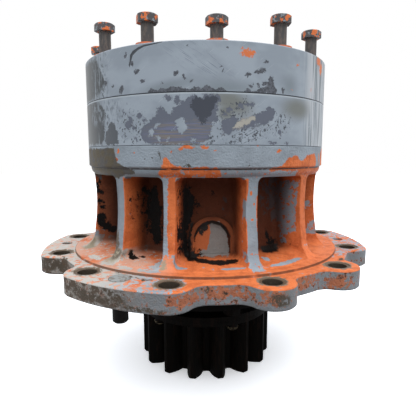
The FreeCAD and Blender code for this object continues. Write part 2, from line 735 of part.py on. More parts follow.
def make_pinion_shaft():
    """Pinion, collar, journals and spline turned from one forging."""
    collar_top = pinion_top + collar_thickness
    guard_top = collar_top + guard_thickness
    shaft = revolved([
        (0, pinion_top - 2), (guard_seat_radius, pinion_top - 2), (guard_seat_radius, pinion_top),
        (collar_radius, pinion_top), (collar_radius, collar_top), (guard_seat_radius, collar_top),
        (guard_seat_radius, guard_top), (journal_radius, guard_top), (journal_radius, mid_shaft_bottom),
        (mid_shaft_radius, mid_shaft_bottom + 2), (mid_shaft_radius, mid_shaft_top),
        (upper_journal_radius, mid_shaft_top + 3), (upper_journal_radius, upper_bearing_top),
        (spline_root_radius - 1, upper_bearing_top), (spline_root_radius - 1, shaft_top), (0, shaft_top)])
    spline = spline_wire(spline_teeth, spline_tip_radius, spline_root_radius)
    shaft = shaft.fuse([pinion_blank(), prism(spline, upper_bearing_top, shaft_top)])
    recess_floor = pinion_centre_radius - pinion_centre_depth
    face_centre = V(0, 0, pinion_bottom)
    tools = [Part.makeCone(pinion_centre_radius, recess_floor, pinion_centre_depth, face_centre, Z_AXIS)]
    for angle in guard_screw_angles():
        centre = polar(guard_screw_circle, angle)
        tools.append(cylinder(guard_screw_radius, pinion_top - 1, collar_top + 1, centre))
    for k in range(end_screws):
        centre = polar(end_screw_circle, 360 / end_screws * k)
        tools.append(cylinder(end_screw_radius, shaft_top - end_screw_length, shaft_top + 1, centre))
    return shaft.cut(Part.makeCompound(tools)).removeSplitter()


def cap_screw(radius, length, head_radius, head_height):
    """Socket-head screw on the Z axis, head up, seat at height 0."""
    edge = 0.8
    screw = revolved([(0, -length), (radius - 1, -length), (radius, 1 - length), (radius, 0),
                      (head_radius, 0), (head_radius, head_height - edge), (head_radius - edge, head_height),
                      (0, head_height)])
    socket = Part.makePolygon([polar(radius * socket_share, 60 * k) for k in range(7)])
    return screw.cut(prism(socket, head_height * socket_floor_share, head_height + 1))


def moved(shape, x, y, z):
    copy = shape.copy()
    copy.translate(V(x, y, z))
    return copy


def carrier_holes(places, distance):
    return [at(distance, place) for place in places]


def make_second_carrier():
    """Two plates and three webs in one casting, with a splined hub."""
    lower_top = second_gear_bottom - gear_side_gap - thrust_washer_thickness
    upper_bottom = second_gear_bottom + second_gear_height + gear_side_gap + thrust_washer_thickness
    top = upper_bottom + second_carrier_upper_plate
    bore = spline_root_radius - 2
    body = revolved([
        (bore, upper_bearing_top), (second_nose_radius, upper_bearing_top),
        (second_nose_radius, second_hub_bottom), (second_hub_radius, second_hub_bottom),
        (second_hub_radius, second_carrier_bottom), (second_carrier_radius, second_carrier_bottom),
        (second_carrier_radius, lower_top), (bore, lower_top)])
    places = planet_places(second_stage_start)
    webs = []
    for place in places:
        web = revolved([(web_inner_radius, lower_top - 1), (second_carrier_radius, lower_top - 1),
                        (second_carrier_radius, upper_bottom + 1), (web_inner_radius, upper_bottom + 1)],
                       2 * web_half_angle)
        web.rotate(ORIGIN, Z_AXIS, math.degrees(place) + 180 / planets - web_half_angle)
        webs.append(web)
    body = body.fuse(webs + [ring(second_carrier_radius, second_carrier_opening, upper_bottom, top)])
    tools = [prism(spline_wire(spline_teeth, spline_tip_radius, spline_root_radius, spline_gap),
                   upper_bearing_top - 1, lower_top + 1),
             cylinder(end_recess_radius, lower_top - end_recess_depth, lower_top + 1)]
    for centre in carrier_holes(places, second_centre_distance):
        tools.append(cylinder(second_pin_radius, second_carrier_bottom + pin_floor, top + 1, centre))
    return body.cut(Part.makeCompound(tools)).removeSplitter()


def make_first_carrier(sun_turn):
    """Plate with three pin holes, driven through the teeth of the second sun gear."""
    top = first_carrier_bottom + first_carrier_thickness
    body = cylinder(first_carrier_radius, first_carrier_bottom, top)
    pitch_radius = second_module * second_sun_teeth / 2
    tools = [prism(gear_wire(second_sun_teeth, second_module, pitch_radius + addendum * second_module,
                             pitch_radius - dedendum * second_module, -0.1, sun_turn),
                   first_carrier_bottom - 1, top + 1)]
    places = planet_places(first_stage_start)
    for centre in carrier_holes(places, first_centre_distance):
        tools.append(cylinder(first_pin_radius, first_carrier_bottom - 1, top + 1, centre))
    for place in places:
        centre = at(first_centre_distance, place + math.pi / planets)
        tools.append(cylinder(first_carrier_hole_radius, first_carrier_bottom - 1, top + 1, centre))
    return body.cut(Part.makeCompound(tools))


def make_planet(teeth, module, bottom, height, turn, centre, bore):
    gear = external_gear(teeth, module, bottom, height, turn)
    return moved(gear.cut(cylinder(bore, bottom - 1, bottom + height + 1)), centre.x, centre.y, 0)


def pin_with_groove(radius, bottom, top):
    """Planet pin with a groove for its retaining ring near the top."""
    groove_top = top - pin_end
    groove_bottom = groove_top - pin_ring_height
    neck = radius - pin_groove_depth
    return revolved([(0, bottom), (radius - 1, bottom), (radius, bottom + 1), (radius, groove_bottom),
                     (neck, groove_bottom), (neck, groove_top), (radius, groove_top), (radius, top - 0.5),
                     (radius - 0.5, top), (0, top)])


def make_needles(pin, needle, bottom, top):
    """Needle rollers and their cage round a pin on the Z axis."""
    circle = pin + needle_play / 2 + needle
    low, high = bottom + needle_end_gap, top - needle_end_gap
    one = cylinder(needle, low, high, V(circle, 0, 0))
    window = cylinder(needle + 0.15, low - 0.15, high + 0.15, V(circle, 0, 0))
    skin = needle_cage_thickness / 2
    cage = ring(circle + skin, circle - skin, bottom + 0.5, top - 0.5)
    cage = cage.cut(Part.makeCompound([turned(window, 360 / needles * k) for k in range(needles)]))
    return [turned(one, 360 / needles * k) for k in range(needles)], cage


def needle_bore(pin, needle):
    return pin + 2 * needle + 2 * needle_play


def collect(shapes):
    """Compound of separate solids."""
    solids = []
    for shape in shapes:
        solids += shape.Solids
    return Part.makeCompound(solids)


parts = {}

# The ring gears are placed so that every planet meshes with its sun and its ring at rest
second_places = planet_places(second_stage_start)
first_places = planet_places(first_stage_start)
second_turns = [planet_turn(p, second_sun_teeth, second_planet_teeth) for p in second_places]
first_turns = [planet_turn(p, first_sun_teeth, first_planet_teeth) for p in first_places]
second_space = space_turn(second_places[0], second_turns[0], second_planet_teeth, second_ring_teeth)
first_space = space_turn(first_places[0], first_turns[0], first_planet_teeth, first_ring_teeth)

# Casing
parts["housing"] = make_housing()
parts["second_ring_gear"] = make_ring_gear(second_ring_teeth, second_module, housing_top, second_ring_top,
                                           second_space, 0)
parts["first_ring_gear"] = make_ring_gear(first_ring_teeth, first_module, second_ring_top, gearbox_top,
                                          first_space, motor_pilot_depth)
washer_top = gearbox_top + washer_thickness
bolts = []
washers = []
for angle, lift, turn in zip(ring_bolt_angles(), bolt_lifts, bolt_turns):
    centre = polar(ring_bolt_circle, angle)
    bolt = hexagon_bolt(bolt_radius, bolt_length, bolt_head_flats, bolt_head_height, turn)
    bolts.append(moved(bolt, centre.x, centre.y, gearbox_top + lift))
    washers.append(ring(washer_radius, ring_bolt_hole_radius, gearbox_top, washer_top, centre))
parts["ring_bolts"] = collect(bolts)
parts["ring_washers"] = collect(washers)
parts["ring_seals"] = collect([Part.makeTorus(ring_groove_radius, ring_seal_section,
                                              V(0, 0, height + ring_groove_depth / 2))
                               for height in (housing_top, second_ring_top)])
parts["ring_dowels"] = collect([cylinder(ring_dowel_radius, height - ring_dowel_length / 2,
                                         height + ring_dowel_length / 2, polar(ring_bolt_circle, angle))
                                for height in (housing_top, second_ring_top) for angle in dowel_angles()])
head_low = flange_thickness - pin_head_sink
head_high = flange_thickness + pin_head_stand_out
locating = revolved([
    (0, -pin_reach), (pin_radius - pin_point, -pin_reach), (pin_radius, pin_point - pin_reach),
    (pin_radius, 0), (pin_seat_radius, 0), (pin_seat_radius, head_low), (pin_head_radius, head_low),
    (pin_head_radius, head_high - 1), (pin_head_radius - 1, head_high), (0, head_high)])
parts["locating_pins"] = collect([moved(locating, p.x, p.y, 0)
                                  for p in (polar(flange_hole_circle, a) for a in pin_hole_angles)])

# Retainer and seal below the lower bearing
retainer = ring(neck_radius, seal_outer_radius, neck_bottom - retainer_thickness, neck_bottom)
retainer = retainer.fuse(ring(lower_bearing_outer, retainer_opening, neck_bottom - 1, lower_bearing_bottom))
retainer_holes = [cylinder(ring_bolt_hole_radius, neck_bottom - retainer_thickness - 1, neck_bottom + 1,
                           polar(retainer_bolt_circle, angle)) for angle in retainer_bolt_angles()]
parts["seal_retainer"] = retainer.cut(Part.makeCompound(retainer_holes)).removeSplitter()
hanging = []
for k, angle in enumerate(retainer_bolt_angles()):
    bolt = hexagon_bolt(bolt_radius, retainer_bolt_length, bolt_head_flats, bolt_head_height, 17 * k)
    bolt.rotate(ORIGIN, V(1, 0, 0), 180)
    centre = polar(retainer_bolt_circle, angle)
    hanging.append(moved(bolt, centre.x, centre.y, neck_bottom - retainer_thickness))
parts["retainer_bolts"] = collect(hanging)
seal_bottom = neck_bottom - retainer_thickness
lip = sleeve_radius + seal_lip_gap
seal_top = seal_bottom + seal_height
case_inside = seal_outer_radius - seal_wall
heel = lip + seal_wall + 1
parts["shaft_seal"] = revolved([
    (seal_outer_radius, seal_bottom), (seal_outer_radius, seal_top), (case_inside, seal_top),
    (case_inside, seal_bottom + seal_wall), (heel, seal_bottom + seal_wall), (heel, seal_top - 4),
    (lip + 1, seal_top - 3), (lip, seal_top - 5), (lip + 1, seal_bottom + seal_wall + 1), (lip, seal_bottom)])
plug = hexagon_bolt(drain_plug_radius, drain_plug_length, drain_head_flats, drain_head_height, 10)
plug.rotate(ORIGIN, V(1, 0, 0), 90)
parts["drain_plug"] = turned(moved(plug, 0, -drain_seat - drain_washer_thickness, drain_height), drain_angle)
seat_point = V(0, -drain_seat, drain_height)
seat = Part.makeCylinder(drain_washer_radius, drain_washer_thickness, seat_point, V(0, -1, 0))
seat = seat.cut(Part.makeCylinder(drain_plug_radius, 2 * drain_washer_thickness, seat_point, V(0, -1, 0)))
parts["drain_washer"] = turned(seat, drain_angle)

# Output shaft with its bearings
lower = make_bearing(journal_radius, lower_bearing_outer, lower_bearing_bottom, lower_bearing_width,
                     lower_bearing_rollers, True)
upper = make_bearing(upper_journal_radius, upper_bearing_outer, upper_bearing_bottom, upper_bearing_width,
                     upper_bearing_rollers, False)
for name, bearing in (("lower_bearing", lower), ("upper_bearing", upper)):
    for piece, shape in zip(("inner_race", "outer_race", "rollers", "cage"), bearing):
        parts[name + "_" + piece] = shape
parts["pinion_shaft"] = make_pinion_shaft()
collar_top = pinion_top + collar_thickness
guard_top = collar_top + guard_thickness
guard = ring(collar_radius, guard_seat_radius, collar_top, guard_top)
guard_holes = [cylinder(guard_screw_radius, collar_top - 1, guard_top + 1, polar(guard_screw_circle, angle))
               for angle in guard_screw_angles()]
parts["guard_ring"] = guard.cut(Part.makeCompound(guard_holes))
screws = []
for angle in guard_screw_angles():
    screw = cap_screw(guard_screw_radius, collar_thickness + guard_thickness, guard_screw_head_radius,
                      guard_screw_head_height)
    screw.rotate(ORIGIN, V(1, 0, 0), 180)
    centre = polar(guard_screw_circle, angle)
    screws.append(moved(screw, centre.x, centre.y, pinion_top))
parts["guard_ring_screws"] = collect(screws)
parts["seal_sleeve"] = ring(sleeve_radius, journal_radius, guard_top, lower_bearing_bottom)

# Second stage: carrier on the output shaft, three planets
parts["second_carrier"] = make_second_carrier()
lower_top = second_gear_bottom - gear_side_gap - thrust_washer_thickness
plate_bottom = lower_top - end_recess_depth
plate_top = plate_bottom + end_plate_thickness
sunk_floor = plate_top - end_screw_head_height
end_plate = cylinder(end_recess_radius - 0.5, plate_bottom, plate_top)
end_holes = []
end_screw_solids = []
for k in range(end_screws):
    centre = polar(end_screw_circle, 360 / end_screws * k)
    end_holes.append(cylinder(end_screw_radius, plate_bottom - 1, plate_top + 1, centre))
    end_holes.append(cylinder(end_screw_head_radius, sunk_floor, plate_top + 1, centre))
    screw = cap_screw(end_screw_radius, end_screw_length - 4, end_screw_head_radius, end_screw_head_height)
    end_screw_solids.append(moved(screw, centre.x, centre.y, sunk_floor))
parts["end_plate"] = end_plate.cut(Part.makeCompound(end_holes))
parts["end_plate_screws"] = collect(end_screw_solids)
parts["sun_thrust_button"] = cylinder(thrust_button_radius / 2, plate_top, second_gear_bottom - gear_side_gap)
upper_bottom = second_gear_bottom + second_gear_height + gear_side_gap + thrust_washer_thickness
second_top = upper_bottom + second_carrier_upper_plate
second_pin = pin_with_groove(second_pin_radius, second_carrier_bottom + pin_floor,
                             second_top + pin_ring_height + pin_end)
first_base = first_carrier_bottom + first_carrier_thickness
first_gear_top = first_gear_bottom + first_gear_height
first_pin_top = first_gear_top + gear_side_gap + thrust_washer_thickness + pin_ring_height + pin_end
first_pin = pin_with_groove(first_pin_radius, first_carrier_bottom, first_pin_top)


def make_pin_set(stage, places, distance, pin, pin_radius_here, needle, low, high, washer_outer):
    """Pins, needles, cages, thrust washers and retaining rings of one planetary stage."""
    rollers, cage = make_needles(pin_radius_here, needle, low, high)
    centres = carrier_holes(places, distance)
    pin_top = pin.BoundBox.ZMax
    ring_top = pin_top - pin_end
    low_washer = ring(washer_outer, pin_radius_here, low - gear_side_gap - thrust_washer_thickness,
                      low - gear_side_gap)
    high_washer = ring(washer_outer, pin_radius_here, high + gear_side_gap,
                       high + gear_side_gap + thrust_washer_thickness)
    snap = ring(pin_radius_here + pin_ring_width - pin_groove_depth, pin_radius_here - pin_groove_depth,
                ring_top - pin_ring_height, ring_top)
    parts[stage + "_planet_pins"] = collect([moved(pin, c.x, c.y, 0) for c in centres])
    parts[stage + "_needles"] = collect([moved(r, c.x, c.y, 0) for c in centres for r in rollers])
    parts[stage + "_needle_cages"] = collect([moved(cage, c.x, c.y, 0) for c in centres])
    parts[stage + "_thrust_washers"] = collect([moved(w, c.x, c.y, 0) for c in centres
                                                for w in (low_washer, high_washer)])
    parts[stage + "_pin_rings"] = collect([moved(snap, c.x, c.y, 0) for c in centres])


make_pin_set("second", second_places, second_centre_distance, second_pin, second_pin_radius,
             second_needle_radius, second_gear_bottom, second_gear_bottom + second_gear_height,
             second_washer_radius)
make_pin_set("first", first_places, first_centre_distance, first_pin, first_pin_radius, first_needle_radius,
             first_gear_bottom, first_gear_top, first_washer_radius)
for letter, place, turn in zip("abc", second_places, second_turns):
    parts["second_planet_" + letter] = make_planet(
        second_planet_teeth, second_module, second_gear_bottom, second_gear_height, turn,
        at(second_centre_distance, place), needle_bore(second_pin_radius, second_needle_radius))
for letter, place, turn in zip("abc", first_places, first_turns):
    parts["first_planet_" + letter] = make_planet(
        first_planet_teeth, first_module, first_gear_bottom, first_gear_height, turn,
        at(first_centre_distance, place), needle_bore(first_pin_radius, first_needle_radius))

# First stage: carrier on the second sun gear, and the input sun gear
parts["second_sun_gear"] = external_gear(second_sun_teeth, second_module, second_gear_bottom,
                                         first_base - second_gear_bottom, 0.0)
parts["first_carrier"] = make_first_carrier(0.0)
parts["input_thrust_plate"] = cylinder(input_thrust_radius, first_base, first_base + input_thrust_thickness)
sun = external_gear(first_sun_teeth, first_module, first_gear_bottom, first_gear_height, 0.0)
sun = sun.fuse(cylinder(input_hub_radius, first_gear_top - 1, input_top))
spline = prism(spline_wire(input_spline_teeth, input_bore_radius + input_spline_depth, input_bore_radius),
               first_gear_bottom + 4, input_top + 1)
sun = sun.cut(spline).cut(cylinder(input_bore_radius, first_gear_bottom + 4, input_top + 1))
parts["input_sun_gear"] = sun.removeSplitter()

os.makedirs("parts", exist_ok=True)
for node, shape in parts.items():
    shape.exportStep("parts/" + node + ".step")
    print(node, len(shape.Solids), round(shape.Volume / 1000, 1), shape.isValid())
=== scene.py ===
# %% [markdown]
# # A used swing gearbox
#
# An excavator's swing gearbox stands on its pinion: a ribbed iron housing, two ring gears on top and twelve
# bolts that were backed out when the motor came off. Its shapes are solid models already, so this lesson is
# about dressing them: a camera that stands where the photographer stood, worn paint built in nodes, and the
# few small pieces that only show close up. Everything is in metres, in the gearbox's own frame: +Z runs up
# the axis and -Y faces the camera.

# %% Load the frame
import json
import math

import bpy
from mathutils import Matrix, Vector


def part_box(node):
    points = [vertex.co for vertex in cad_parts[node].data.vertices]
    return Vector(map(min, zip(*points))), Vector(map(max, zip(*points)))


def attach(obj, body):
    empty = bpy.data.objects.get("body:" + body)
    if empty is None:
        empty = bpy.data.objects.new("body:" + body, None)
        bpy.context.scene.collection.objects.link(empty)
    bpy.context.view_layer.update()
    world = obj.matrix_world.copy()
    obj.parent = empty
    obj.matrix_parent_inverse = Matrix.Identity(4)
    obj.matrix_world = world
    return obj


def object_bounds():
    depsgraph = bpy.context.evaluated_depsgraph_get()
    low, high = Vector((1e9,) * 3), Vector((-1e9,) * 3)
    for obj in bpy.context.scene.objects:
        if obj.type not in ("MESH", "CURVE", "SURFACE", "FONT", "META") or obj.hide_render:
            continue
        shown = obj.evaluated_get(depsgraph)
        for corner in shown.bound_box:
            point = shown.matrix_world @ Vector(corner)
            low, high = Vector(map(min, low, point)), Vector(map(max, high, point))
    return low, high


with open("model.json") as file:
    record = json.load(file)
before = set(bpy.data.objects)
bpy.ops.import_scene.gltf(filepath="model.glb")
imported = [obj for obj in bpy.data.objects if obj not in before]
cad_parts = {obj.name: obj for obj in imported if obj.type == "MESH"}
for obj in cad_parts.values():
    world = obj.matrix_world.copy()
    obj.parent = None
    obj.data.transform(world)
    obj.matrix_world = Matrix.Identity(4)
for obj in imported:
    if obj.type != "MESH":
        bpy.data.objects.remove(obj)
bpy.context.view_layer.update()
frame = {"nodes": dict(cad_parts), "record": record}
nodes = frame["nodes"]
bpy.ops.object.select_all(action="DESELECT")

# %% [markdown]
# ## The sizes that everything hangs on
#
# The ring gears' outside radius is the measure that the rest is compared with. Reading it, and the heights of
# the joints, from the model's boxes keeps the paint where the metal is.

# %% Measure the model
ring_low, ring_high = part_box("second_ring_gear")
top_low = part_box("first_ring_gear")[0]
body_radius = (ring_high.x - ring_low.x) / 2
MM = 1000
body_radius_mm = body_radius * MM
lower_joint_mm = ring_low.z * MM
upper_joint_mm = top_low.z * MM
print("body radius", round(body_radius_mm, 1), "mm, joints at", round(lower_joint_mm), round(upper_joint_mm))

# %% [markdown]
# ## The camera
#
# The camera stands 0.66 m in front of the axis, level with the band, and looks down by eight degrees.
# These values come from the ellipses of the joints and of the flange holes: only one standing point makes
# all of them as flat as they are. The long side of the sensor is 36 mm, so the lens follows from the
# focal length in picture widths.

# %% Place the camera
camera_data = bpy.data.cameras.new("camera")
camera = bpy.data.objects.new("camera", camera_data)
bpy.context.scene.collection.objects.link(camera)
picture_width = 416
focal_in_pixels = 394
principal_drop = 2
camera_data.sensor_width = 36
camera_data.lens = camera_data.sensor_width * focal_in_pixels / picture_width
camera_data.shift_y = principal_drop / picture_width
camera.location = (0.0041, -0.6599, 0.1718)
look_down = math.radians(7.97)
camera.rotation_euler = (math.radians(90) - look_down, 0, 0)
bpy.context.scene.camera = camera
print("lens", round(camera_data.lens, 2), "mm")

# %% [markdown]
# ## Nodes and colours
#
# Colours are written as the hex values a painter would read off a screen, and one function turns them into
# the linear numbers that light needs. One more function adds a node: it sets properties, then fills sockets
# or links them. A node given as a value stands for its first output that is switched on.

# %% Helpers for materials
def linear(hex_colour):
    """Linear RGBA of an sRGB hex value."""
    parts = [int(hex_colour[k:k + 2], 16) / 255 for k in (1, 3, 5)]
    return [p / 12.92 if p <= 0.04045 else ((p + 0.055) / 1.055) ** 2.4 for p in parts] + [1.0]


def node(tree, kind, inputs=None, **settings):
    """Adds a node, sets its properties, then fills or links its sockets."""
    made = tree.nodes.new(kind)
    for name, value in settings.items():
        setattr(made, name, value)
    for key, value in (inputs or {}).items():
        if isinstance(key, str):
            socket = next(s for s in made.inputs if s.enabled and s.name == key)
        else:
            socket = made.inputs[key]
        if isinstance(value, bpy.types.Node):
            value = next(s for s in value.outputs if s.enabled)
        if isinstance(value, bpy.types.NodeSocket):
            tree.links.new(value, socket)
        elif isinstance(value, str):
            socket.default_value = linear(value)
        else:
            socket.default_value = value
    return made


def new_material(name):
    """Empty material and its tree."""
    made = bpy.data.materials.new(name)
    made.use_nodes = True
    made.node_tree.nodes.clear()
    return made, made.node_tree


paint_grey = "#98a1a9"
orange = "#d2713f"
bare_steel = "#5d626d"
print("paint grey in linear light:", [round(v, 3) for v in linear(paint_grey)])

# %% [markdown]
# ## Where on the casing a point lies
#
# Wear has places: chips follow a joint, grime runs down one side. A round casing can be unrolled like the label
# of a tin: arc from the front, height and radius, all in millimetres. Shapes are then drawn on that label. Noise
# pulls the label about before they are drawn, so their edges come out torn, as flaked paint is.

# %% Unroll the casing
mm_per_degree = math.radians(1) * body_radius_mm


def unrolled(tree):
    """A point's place on the casing: millimetres, label, angle in degrees, height and radius."""
    point = node(tree, "ShaderNodeTexCoord").outputs["Object"]
    mm = node(tree, "ShaderNodeVectorMath", {0: point, "Scale": MM}, operation="SCALE")
    axes = node(tree, "ShaderNodeSeparateXYZ", {0: mm})
    front = node(tree, "ShaderNodeMath", {0: axes.outputs["Y"], 1: -1.0}, operation="MULTIPLY")
    turn = node(tree, "ShaderNodeMath", {0: axes.outputs["X"], 1: front}, operation="ARCTAN2")
    angle = node(tree, "ShaderNodeMath", {0: turn, 1: math.degrees(1)}, operation="MULTIPLY")
    arc = node(tree, "ShaderNodeMath", {0: angle, 1: mm_per_degree}, operation="MULTIPLY")
    flat = node(tree, "ShaderNodeVectorMath", {0: mm, 1: (1, 1, 0)}, operation="MULTIPLY")
    radius = node(tree, "ShaderNodeVectorMath", {0: flat}, operation="LENGTH").outputs["Value"]
    label = node(tree, "ShaderNodeCombineXYZ", {0: arc, 1: axes.outputs["Z"], 2: radius})
    plan = node(tree, "ShaderNodeCombineXYZ", {0: arc, 1: radius, 2: axes.outputs["Z"]})
    side = node(tree, "ShaderNodeCombineXYZ", {0: radius, 1: axes.outputs["Z"], 2: arc})
    return {"mm": mm.outputs[0], "label": label.outputs[0], "plan": plan.outputs[0], "side": side.outputs[0],
            "angle": angle.outputs[0], "height": axes.outputs["Z"], "radius": radius}


def noise_on(vector, grain, detail=4.0, roughness=0.6, tilt=0.0, output="Fac"):
    """Noise near 0.5 with a grain in millimetres: one size, or one for each direction."""
    tree = vector.id_data
    sizes = grain if isinstance(grain, tuple) else (grain, grain, grain)
    scaled = node(tree, "ShaderNodeMapping", {"Vector": vector, "Rotation": (0, 0, math.radians(tilt)),
                                              "Scale": sizes}, vector_type="TEXTURE")
    return node(tree, "ShaderNodeTexNoise", {"Vector": scaled, "Scale": 1.0, "Detail": detail,
                                             "Roughness": roughness}).outputs[output]


def pulled_about(place, face, grain, reach, roughness=0.65):
    """The label or the plan, pulled about by noise, so that what is drawn on it has torn edges."""
    pull = noise_on(place["mm"], grain, 7.0, roughness, output="Color")
    tree = pull.id_data
    centred = node(tree, "ShaderNodeVectorMath", {0: pull, 1: (0.5, 0.5, 0.5)}, operation="SUBTRACT")
    return node(tree, "ShaderNodeVectorMath", {0: centred, 1: (reach, reach, 0), 2: place[face]},
                operation="MULTIPLY_ADD").outputs[0]


print("one degree of the casing is", round(mm_per_degree, 2), "mm of its label")

# %% [markdown]
# ## Masks
#
# A mask is 1 where a finish lies and 0 elsewhere. Its edge is a smooth step, which stays between 0 and 1 by
# itself. Two curves, one for the lower edge and one for the upper, draw a free shape with a handful of nodes.
# Ellipses do for the small chips.

# %% Draw masks
def overlap(*masks):
    """1 where all the masks are 1."""
    result = masks[0]
    for mask in masks[1:]:
        result = node(result.id_data, "ShaderNodeMath", {0: result, 1: mask}, operation="MULTIPLY")
    return result


def above(value, limit, soft=1.0):
    """1 where a value lies above a limit. A negative softness turns it round."""
    return node(value.id_data, "ShaderNodeMapRange",
                {"Value": value, "From Min": limit - soft, "From Max": limit + soft},
                interpolation_type="SMOOTHSTEP", clamp=False)


def below(value, limit, soft=1.0):
    """1 where a value lies below a limit."""
    return above(value, limit, -soft)


def between(value, low, high, soft=1.0):
    """1 where a value lies between two limits."""
    return overlap(above(value, low, soft), below(value, high, soft))


def silhouettes(label, shapes, feather=0.6):
    """Mask of shapes side by side. A shape is rows of an angle and the heights of its two edges."""
    tree = label.id_data
    past_end, crossed = 0.7, 2
    rows = []
    for shape in shapes:
        closed = []
        for (angle, low, high), side in ((shape[0], -past_end), (shape[-1], past_end)):
            closed.append((angle + side, (low + high) / 2 + crossed, (low + high) / 2 - crossed))
        rows += [closed[0]] + shape + [closed[1]]
    start, end = rows[0][0], rows[-1][0]
    bottom = min(min(row[1:]) for row in rows)
    top = max(max(row[1:]) for row in rows)
    axes = node(tree, "ShaderNodeSeparateXYZ", {0: label})
    along = node(tree, "ShaderNodeMapRange", {"Value": axes.outputs["X"], "From Min": start * mm_per_degree,
                                              "From Max": end * mm_per_degree}, clamp=False)
    gaps = []
    for side in (1, 2):
        curve = node(tree, "ShaderNodeFloatCurve", {"Value": along})
        line = curve.mapping.curves[0].points
        knots = [((row[0] - start) / (end - start), (row[side] - bottom) / (top - bottom)) for row in rows]
        line[0].location, line[1].location = knots[0], knots[-1]
        for knot in knots[1:-1]:
            line.new(*knot)
        for point in line:
            point.handle_type = "VECTOR"
        curve.mapping.update()
        edge = node(tree, "ShaderNodeMath", {0: curve, 1: top - bottom, 2: bottom}, operation="MULTIPLY_ADD")
        ends = {0: axes.outputs["Y"], 1: edge} if side == 1 else {0: edge, 1: axes.outputs["Y"]}
        gaps.append(node(tree, "ShaderNodeMath", ends, operation="SUBTRACT"))
    inside = node(tree, "ShaderNodeMath", {0: gaps[0], 1: gaps[1]}, operation="MINIMUM")
    return above(inside, 0.0, feather)


def spots(label, ellipses, soft=0.12, unit=mm_per_degree):
    """Mask of ellipses: place along and across the label, half width, half height and, if any, tilt."""
    tree = label.id_data
    nearest = None
    for along, across, half_width, half_height, *turn in ellipses:
        tilt = sum(turn)
        centre = Vector((along * unit, across, 0))
        cosine, sine = math.cos(math.radians(tilt)), math.sin(math.radians(tilt))
        axes = (Vector((cosine, sine, 0)) / half_width, Vector((-sine, cosine, 0)) / half_height)
        shift = Vector((axes[0].dot(centre), axes[1].dot(centre), 0))
        if tilt:
            ways = [node(tree, "ShaderNodeVectorMath", {0: label, 1: axis}, operation="DOT_PRODUCT").outputs["Value"]
                    for axis in axes]
            turned = node(tree, "ShaderNodeCombineXYZ", {0: ways[0], 1: ways[1]})
            local = node(tree, "ShaderNodeVectorMath", {0: turned, 1: shift}, operation="SUBTRACT")
        else:
            local = node(tree, "ShaderNodeVectorMath", {0: label, 1: (1 / half_width, 1 / half_height, 0),
                                                        2: -shift}, operation="MULTIPLY_ADD")
        far = node(tree, "ShaderNodeVectorMath", {0: local}, operation="LENGTH").outputs["Value"]
        if nearest is not None:
            far = node(tree, "ShaderNodeMath", {0: nearest, 1: far}, operation="MINIMUM")
        nearest = far
    return below(nearest, 1.0, soft)


print("masks ready")

# %% [markdown]
# ## Coats
#
# Old paint is a stack: steel, primer, top coat, dirt. A finish here keeps three things, colour, roughness and
# height in millimetres, and each coat covers part of what lies below it. Only what really stands up or sinks
# in changes the height: the bump reads it three times for each point, so every node in it costs thrice.

# %% Lay coats over one another
bevel_samples = 6


class Finish:
    """A material that is being painted: its tree, where a point lies and the surface so far."""

    def __init__(self, name, colour, roughness):
        self.material, self.tree = new_material(name)
        self.place = unrolled(self.tree)
        self.colour, self.roughness, self.height = linear(colour), roughness, 0.0

    def coat(self, masks, colour, roughness, height=0.0):
        """Covers the surface where all the masks are 1. The height is added to what lies below."""
        mask = overlap(*masks) if isinstance(masks, list) else masks
        self.colour = node(self.tree, "ShaderNodeMix", {"Factor": mask, "A": self.colour, "B": colour},
                           data_type="RGBA")
        self.roughness = node(self.tree, "ShaderNodeMix", {"Factor": mask, "A": self.roughness, "B": roughness})
        if height:
            self.roughen(mask, height)

    def roughen(self, bumps, depth):
        """Adds bumps of a depth in millimetres."""
        self.height = node(self.tree, "ShaderNodeMath", {0: bumps, 1: depth, 2: self.height},
                           operation="MULTIPLY_ADD")

    def close(self, rounding, metallic=0.0, gloss=0.5):
        """Joins the surface to the shader. Rounding softens hard edges, in millimetres."""
        smooth = node(self.tree, "ShaderNodeBevel", {"Radius": rounding / MM}, samples=bevel_samples)
        bump = node(self.tree, "ShaderNodeBump", {"Height": self.height, "Distance": 1 / MM, "Normal": smooth})
        shader = node(self.tree, "ShaderNodeBsdfPrincipled",
                      {"Base Color": self.colour, "Roughness": self.roughness, "Metallic": metallic,
                       "Specular IOR Level": gloss, "Normal": bump})
        node(self.tree, "ShaderNodeOutputMaterial", {"Surface": shader.outputs["BSDF"]})
        return self.material


def flaked(share, noise, edge=0.03):
    """Turns a share into flakes: about that share of the surface gets 1. Most noise lies from 0.3 to 0.7."""
    tree = noise.id_data
    spread = node(tree, "ShaderNodeMapRange", {"Value": noise, "From Min": 0.3, "From Max": 0.7}, clamp=False)
    total = node(tree, "ShaderNodeMath", {0: spread, 1: share}, operation="ADD")
    return above(total, 1.0, edge)


def lay_share(share, masks, value):
    """Sets the share to a value where all the masks are 1."""
    mask = overlap(*masks)
    return node(mask.id_data, "ShaderNodeMix", {"Factor": mask, "A": share, "B": value})


def either(*masks):
    """1 where any of the masks is 1."""
    result = masks[0]
    for mask in masks[1:]:
        result = node(mask.id_data, "ShaderNodeMath", {0: result, 1: mask}, operation="MAXIMUM")
    return result


print("coats ready")

# %% [markdown]
# ## Enamel on the ring gears
#
# The rings are turned steel in a satin alkyd enamel: smooth, a little cloudy, with hair scratches. At the sides
# upright streaks are partly left by rain and partly painted reflections and shade, and both joints show as a dark
# line over a painted highlight on the bevel. All this is the ground that the two rings share.

# %% Lay the ground of the enamel
skin_mm = 0.8


